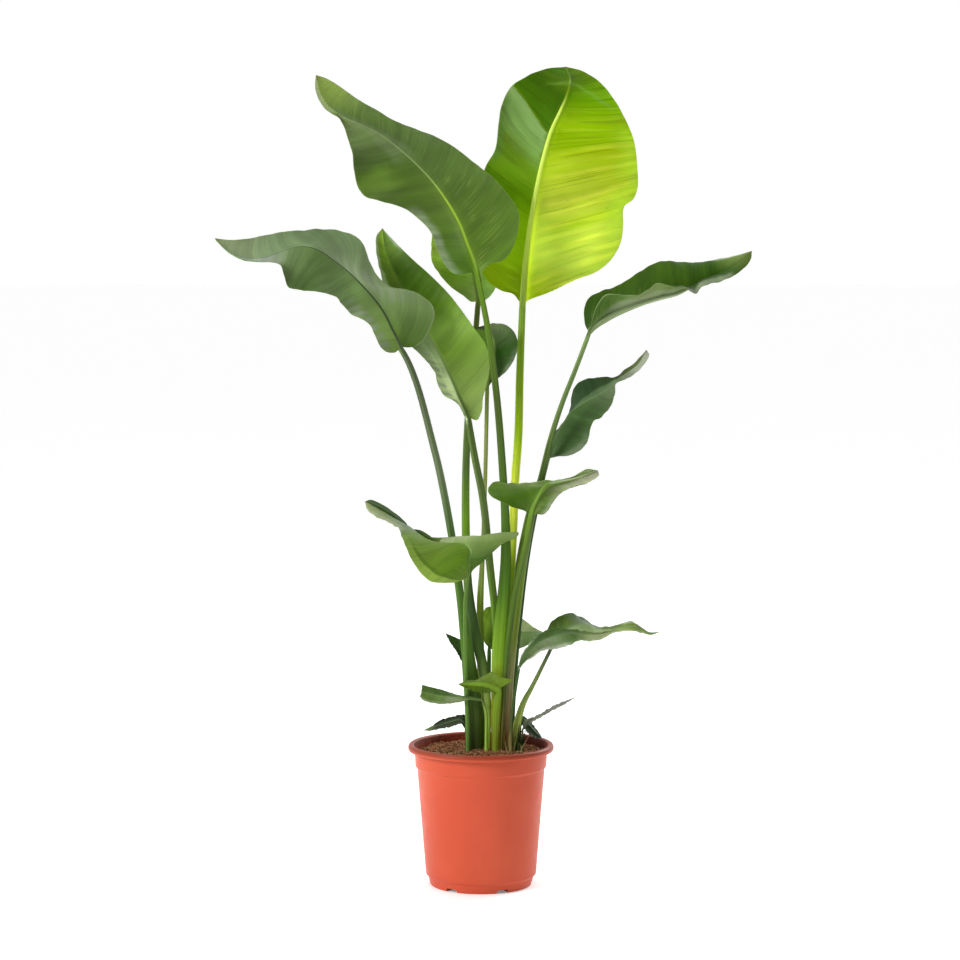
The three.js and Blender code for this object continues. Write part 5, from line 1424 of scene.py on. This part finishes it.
def build_soil():
    rng = np.random.default_rng(SOIL_SEED)
    radius = SOIL_TOP_RADIUS * np.sqrt(np.linspace(0, 1, SOIL_RINGS + 1)[1:]) ** 1.15
    angle = np.linspace(0, TURN, SOIL_SIDES, endpoint=False)
    x = radius[:, None] * np.cos(angle)
    y = radius[:, None] * np.sin(angle)
    z = soil_height(x, y) + small_lumps(x, y, rng)
    tone = SOIL_TONE + SOIL_TONE_LUMPS * small_lumps(x * 0.5 + 40, y * 0.5, rng)
    tone += rng.normal(0, SOIL_TONE_SPREAD, x.shape)
    points = [np.stack([x, y, z], -1).reshape(-1, 3)]
    for wall_radius, height in SOIL_WALL:
        ring = [wall_radius * np.cos(angle), wall_radius * np.sin(angle), np.full(SOIL_SIDES, float(height))]
        points.append(np.stack(ring, -1))
    points.append([[0, 0, soil_height(0.0, 0.0)], [0, 0, FLOOR_THICKNESS + SOIL_GAP]])
    tones = np.concatenate([tone.ravel(), np.full(len(SOIL_WALL) * SOIL_SIDES + 2, SOIL_TONE)])
    faces = round_faces(SOIL_RINGS + len(SOIL_WALL), SOIL_SIDES)
    return as_mesh("soil_fine", np.concatenate(points), faces, {"tone": tones})


class Litter:
    """Many small bits with a tone each, gathered into one mesh."""

    def __init__(self):
        self.points, self.faces, self.tones = [], [], []
        self.count = 0

    def add(self, points, faces, tone):
        self.faces += [[self.count + corner for corner in face] for face in faces]
        self.points.append(points)
        self.tones.append(np.full(len(points), tone))
        self.count += len(points)

    def add_tube(self, path, side, over, sides, tone):
        """A tube along a path; side and over reach from it to the two axes of each ring."""
        rings = []
        for corner in range(sides):
            a = TURN * corner / sides
            rings.append(path + side * math.cos(a) + over * math.sin(a))
        index = np.arange(len(path) * sides).reshape(len(path), sides)
        beside = np.roll(index, -1, axis=1)
        faces = np.stack([index[:-1], index[1:], beside[1:], beside[:-1]], -1).reshape(-1, 4).tolist()
        faces += [index[0].tolist(), index[-1, ::-1].tolist()]
        self.add(np.stack(rings, axis=1).reshape(-1, 3), faces, tone)

    def build(self, name):
        return as_mesh(name, np.concatenate(self.points), self.faces, {"tone": np.concatenate(self.tones)})


def build_crumbs():
    """Crumbs of peat and bark lying on the soil, as one piece."""
    rng = np.random.default_rng(CRUMB_SEED)
    ball = bmesh.new()
    bmesh.ops.create_icosphere(ball, subdivisions=1, radius=1.0)
    shape = np.array([v.co for v in ball.verts])
    faces = [[v.index for v in f.verts] for f in ball.faces]
    ball.free()
    crumbs = Litter()
    for _ in range(CRUMB_COUNT):
        x, y = spot_on_soil(rng, CRUMB_LIMIT)
        size = CRUMB_LEAST_SIZE + CRUMB_SIZE_SPREAD * rng.uniform() ** 3
        stretch = rng.uniform(*CRUMB_STRETCH, 3) * size
        spin = np.linalg.qr(rng.normal(size=(3, 3)))[0]
        bits = shape * rng.uniform(*CRUMB_UNEVENNESS, (len(shape), 1)) * stretch
        z = soil_height(x, y) + rng.uniform(*CRUMB_LIFT)
        crumbs.add(bits @ spin.T + [x, y, z], faces, np.clip(rng.normal(*CRUMB_TONE), 0, 1))
    return crumbs.build("soil_crumbs")


def build_fibres():
    """Coir fibres lying on the soil, as one piece of thin tubes."""
    rng = np.random.default_rng(FIBRE_SEED)
    fibres = Litter()
    for _ in range(FIBRE_COUNT):
        spot = np.array(spot_on_soil(rng, FIBRE_START_LIMIT))
        heading = rng.uniform(0, TURN)
        bend = rng.normal(0, FIBRE_BEND)
        length = rng.uniform(*FIBRE_LENGTH)
        thick = rng.uniform(*FIBRE_RADIUS)
        rise = rng.uniform(*FIBRE_RISE)
        path = []
        for step in range(FIBRE_STEPS + 1):
            away = math.hypot(*spot)
            if away > FIBRE_LIMIT:
                spot = spot * FIBRE_LIMIT / away
            lift = rise * math.sin(math.pi * step / FIBRE_STEPS) * rng.uniform(*FIBRE_LIFT_SHARES)
            path.append([*spot, soil_height(*spot) + FIBRE_LIFT + lift])
            heading += bend
            spot = spot + np.array([math.cos(heading), math.sin(heading)]) * length / FIBRE_STEPS
        path = np.array(path)
        ahead = directions(path)
        side = unit(np.cross(ahead, [0, 0, 1.0]))
        over = np.cross(side, ahead)
        tone = np.clip(rng.normal(*FIBRE_TONE), 0, 1)
        fibres.add_tube(path, side * thick, over * thick, FIBRE_SIDES, tone)
    return fibres.build("soil_fibres")


def build_sheath_bits():
    """Strips of old sheath round the foot of the right shoots, rooted in the soil, as one piece."""
    rng = np.random.default_rng(SHEATH_SEED)
    strips = Litter()
    w = np.linspace(0, 1, SHEATH_STEPS + 1)
    taper = (1 - SHEATH_TAPER * w ** 1.6)[:, None]
    for x, y, lean, height, half_width, tone in SHEATH_STRIPS:
        sway = SHEATH_SWAY * np.sin(TURN * w + rng.uniform(0, TURN)) * w
        foot = soil_height(x, y) - SHEATH_ROOT
        up = foot + (height + SHEATH_ROOT) * w
        path = np.stack([x + lean * w ** 1.3 + sway, y + 0.6 * sway, up], axis=1)
        ahead = directions(path)
        turn = rng.uniform(-SHEATH_MOST_TURN, SHEATH_MOST_TURN)
        flat = unit(np.array([math.cos(turn), math.sin(turn), 0.0]) - ahead * ahead[:, :1] * math.cos(turn))
        thick = unit(np.cross(flat, ahead))
        strips.add_tube(path, flat * half_width * taper, thick * SHEATH_HALF_THICKNESS * taper,
                        SHEATH_SIDES, tone)
    return strips.build("sheath_bits")


# The object

for number, (node, leaf) in enumerate(LEAVES.items()):
    look = {**PLAIN_LOOK, **LOOKS[node]}
    seed = LEAF_SEED + LEAF_SEED_STEP * number
    piece = LeafForm(leaf, look["pleat"], seed).build(node + "_fine")
    rib_width = leaf["stalk"][-1][3] * look["rib_width"]
    skin = LeafShader(node + " skin", look, rib_width, SKIN_NOISE_STEP * number)
    piece.data.materials.append(skin.build())
    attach(piece, "root")
    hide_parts(node)

pot = build_pot()
pot.data.materials.clear()
pot.data.materials.append(pot_material())
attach(pot, "root")
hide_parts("pot")

soil_skin = litter_material(
    "potting mix",
    tones=[(0.0, "#281810"), (0.35, "#563422"), (0.65, "#885638"), (0.85, "#b07c54"),
           (1.0, "#cea478")],
    z_scale=1.0, noise=(700.0, 4.0, 0.7), shades=(0.25, 0.75, 0.6, 1.35), roughness=0.95,
    relief=(0.0012, 0.8),
)
soil = build_soil()
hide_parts("soil")
for piece in (soil, build_crumbs(), build_fibres()):
    piece.data.materials.append(soil_skin)
    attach(piece, "root")

sheaths = build_sheath_bits()
sheaths.data.materials.append(litter_material(
    "old sheath",
    tones=[(0.0, "#223416"), (0.4, "#465824"), (0.7, "#807c3e"), (1.0, "#b09e70")],
    z_scale=0.12, noise=(900.0, 2.0), shades=(0.3, 0.7, 0.6, 1.3), roughness=0.7, relief=(0.0005, 0.6),
))
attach(sheaths, "root")


# Studio

def add_area_light(name, place, target, size, power):
    light = bpy.data.lights.new(name, "AREA")
    light.shape = "SQUARE"
    light.size = size
    light.energy = power
    lamp = bpy.data.objects.new(name, light)
    lamp.location = place
    lamp.rotation_euler = (Vector(target) - Vector(place)).to_track_quat("-Z", "Y").to_euler()
    bpy.context.scene.collection.objects.link(lamp)


def light_world(world):
    """White to the eye all round; as a light it is dim in front, bright behind and above."""
    s = Shader(world)
    _, depth, up = s.split(s.coordinates("Generated"))
    light = s.plus(s.fit(depth, -0.2, 0.7, FRONT_LIGHT, BACK_LIGHT), s.fit(up, 0.4, 1.0, 0.0, TOP_LIGHT))
    seen = s.node("LightPath", {}, "Is Camera Ray")
    strength = s.node("Mix", {0: seen, 2: light, 3: 1.0})
    return s.finish(s.node("Background", {"Color": (1, 1, 1, 1), "Strength": strength}), "World")


floor_mesh = bpy.data.meshes.new("studio_floor")
corners = [(-1, -1), (1, -1), (1, 1), (-1, 1)]
floor_mesh.from_pydata([(x * FLOOR_REACH, y * FLOOR_REACH, 0) for x, y in corners], [], [(0, 1, 2, 3)])
floor = bpy.data.objects.new("studio_floor", floor_mesh)
bpy.context.scene.collection.objects.link(floor)
floor_mesh.materials.append(floor_material())

bpy.context.scene.world = light_world(bpy.data.worlds.new("studio"))
for name, light in LIGHTS.items():
    add_area_light(name, **light)

camera_data = bpy.data.cameras.new("camera")
camera_data.sensor_width = SENSOR_WIDTH
camera_data.lens = LENS
camera_data.clip_end = FARTHEST_SEEN
camera = bpy.data.objects.new("camera", camera_data)
camera.location = (0, -EYE_DISTANCE * MM, EYE_HEIGHT * MM)
camera.rotation_euler = (math.radians(90 - CAMERA_TILT_DOWN), 0, math.atan2(AIM_RIGHT, EYE_DISTANCE))
bpy.context.scene.collection.objects.link(camera)
bpy.context.scene.camera = camera
bpy.context.scene.view_settings.view_transform = "Standard"
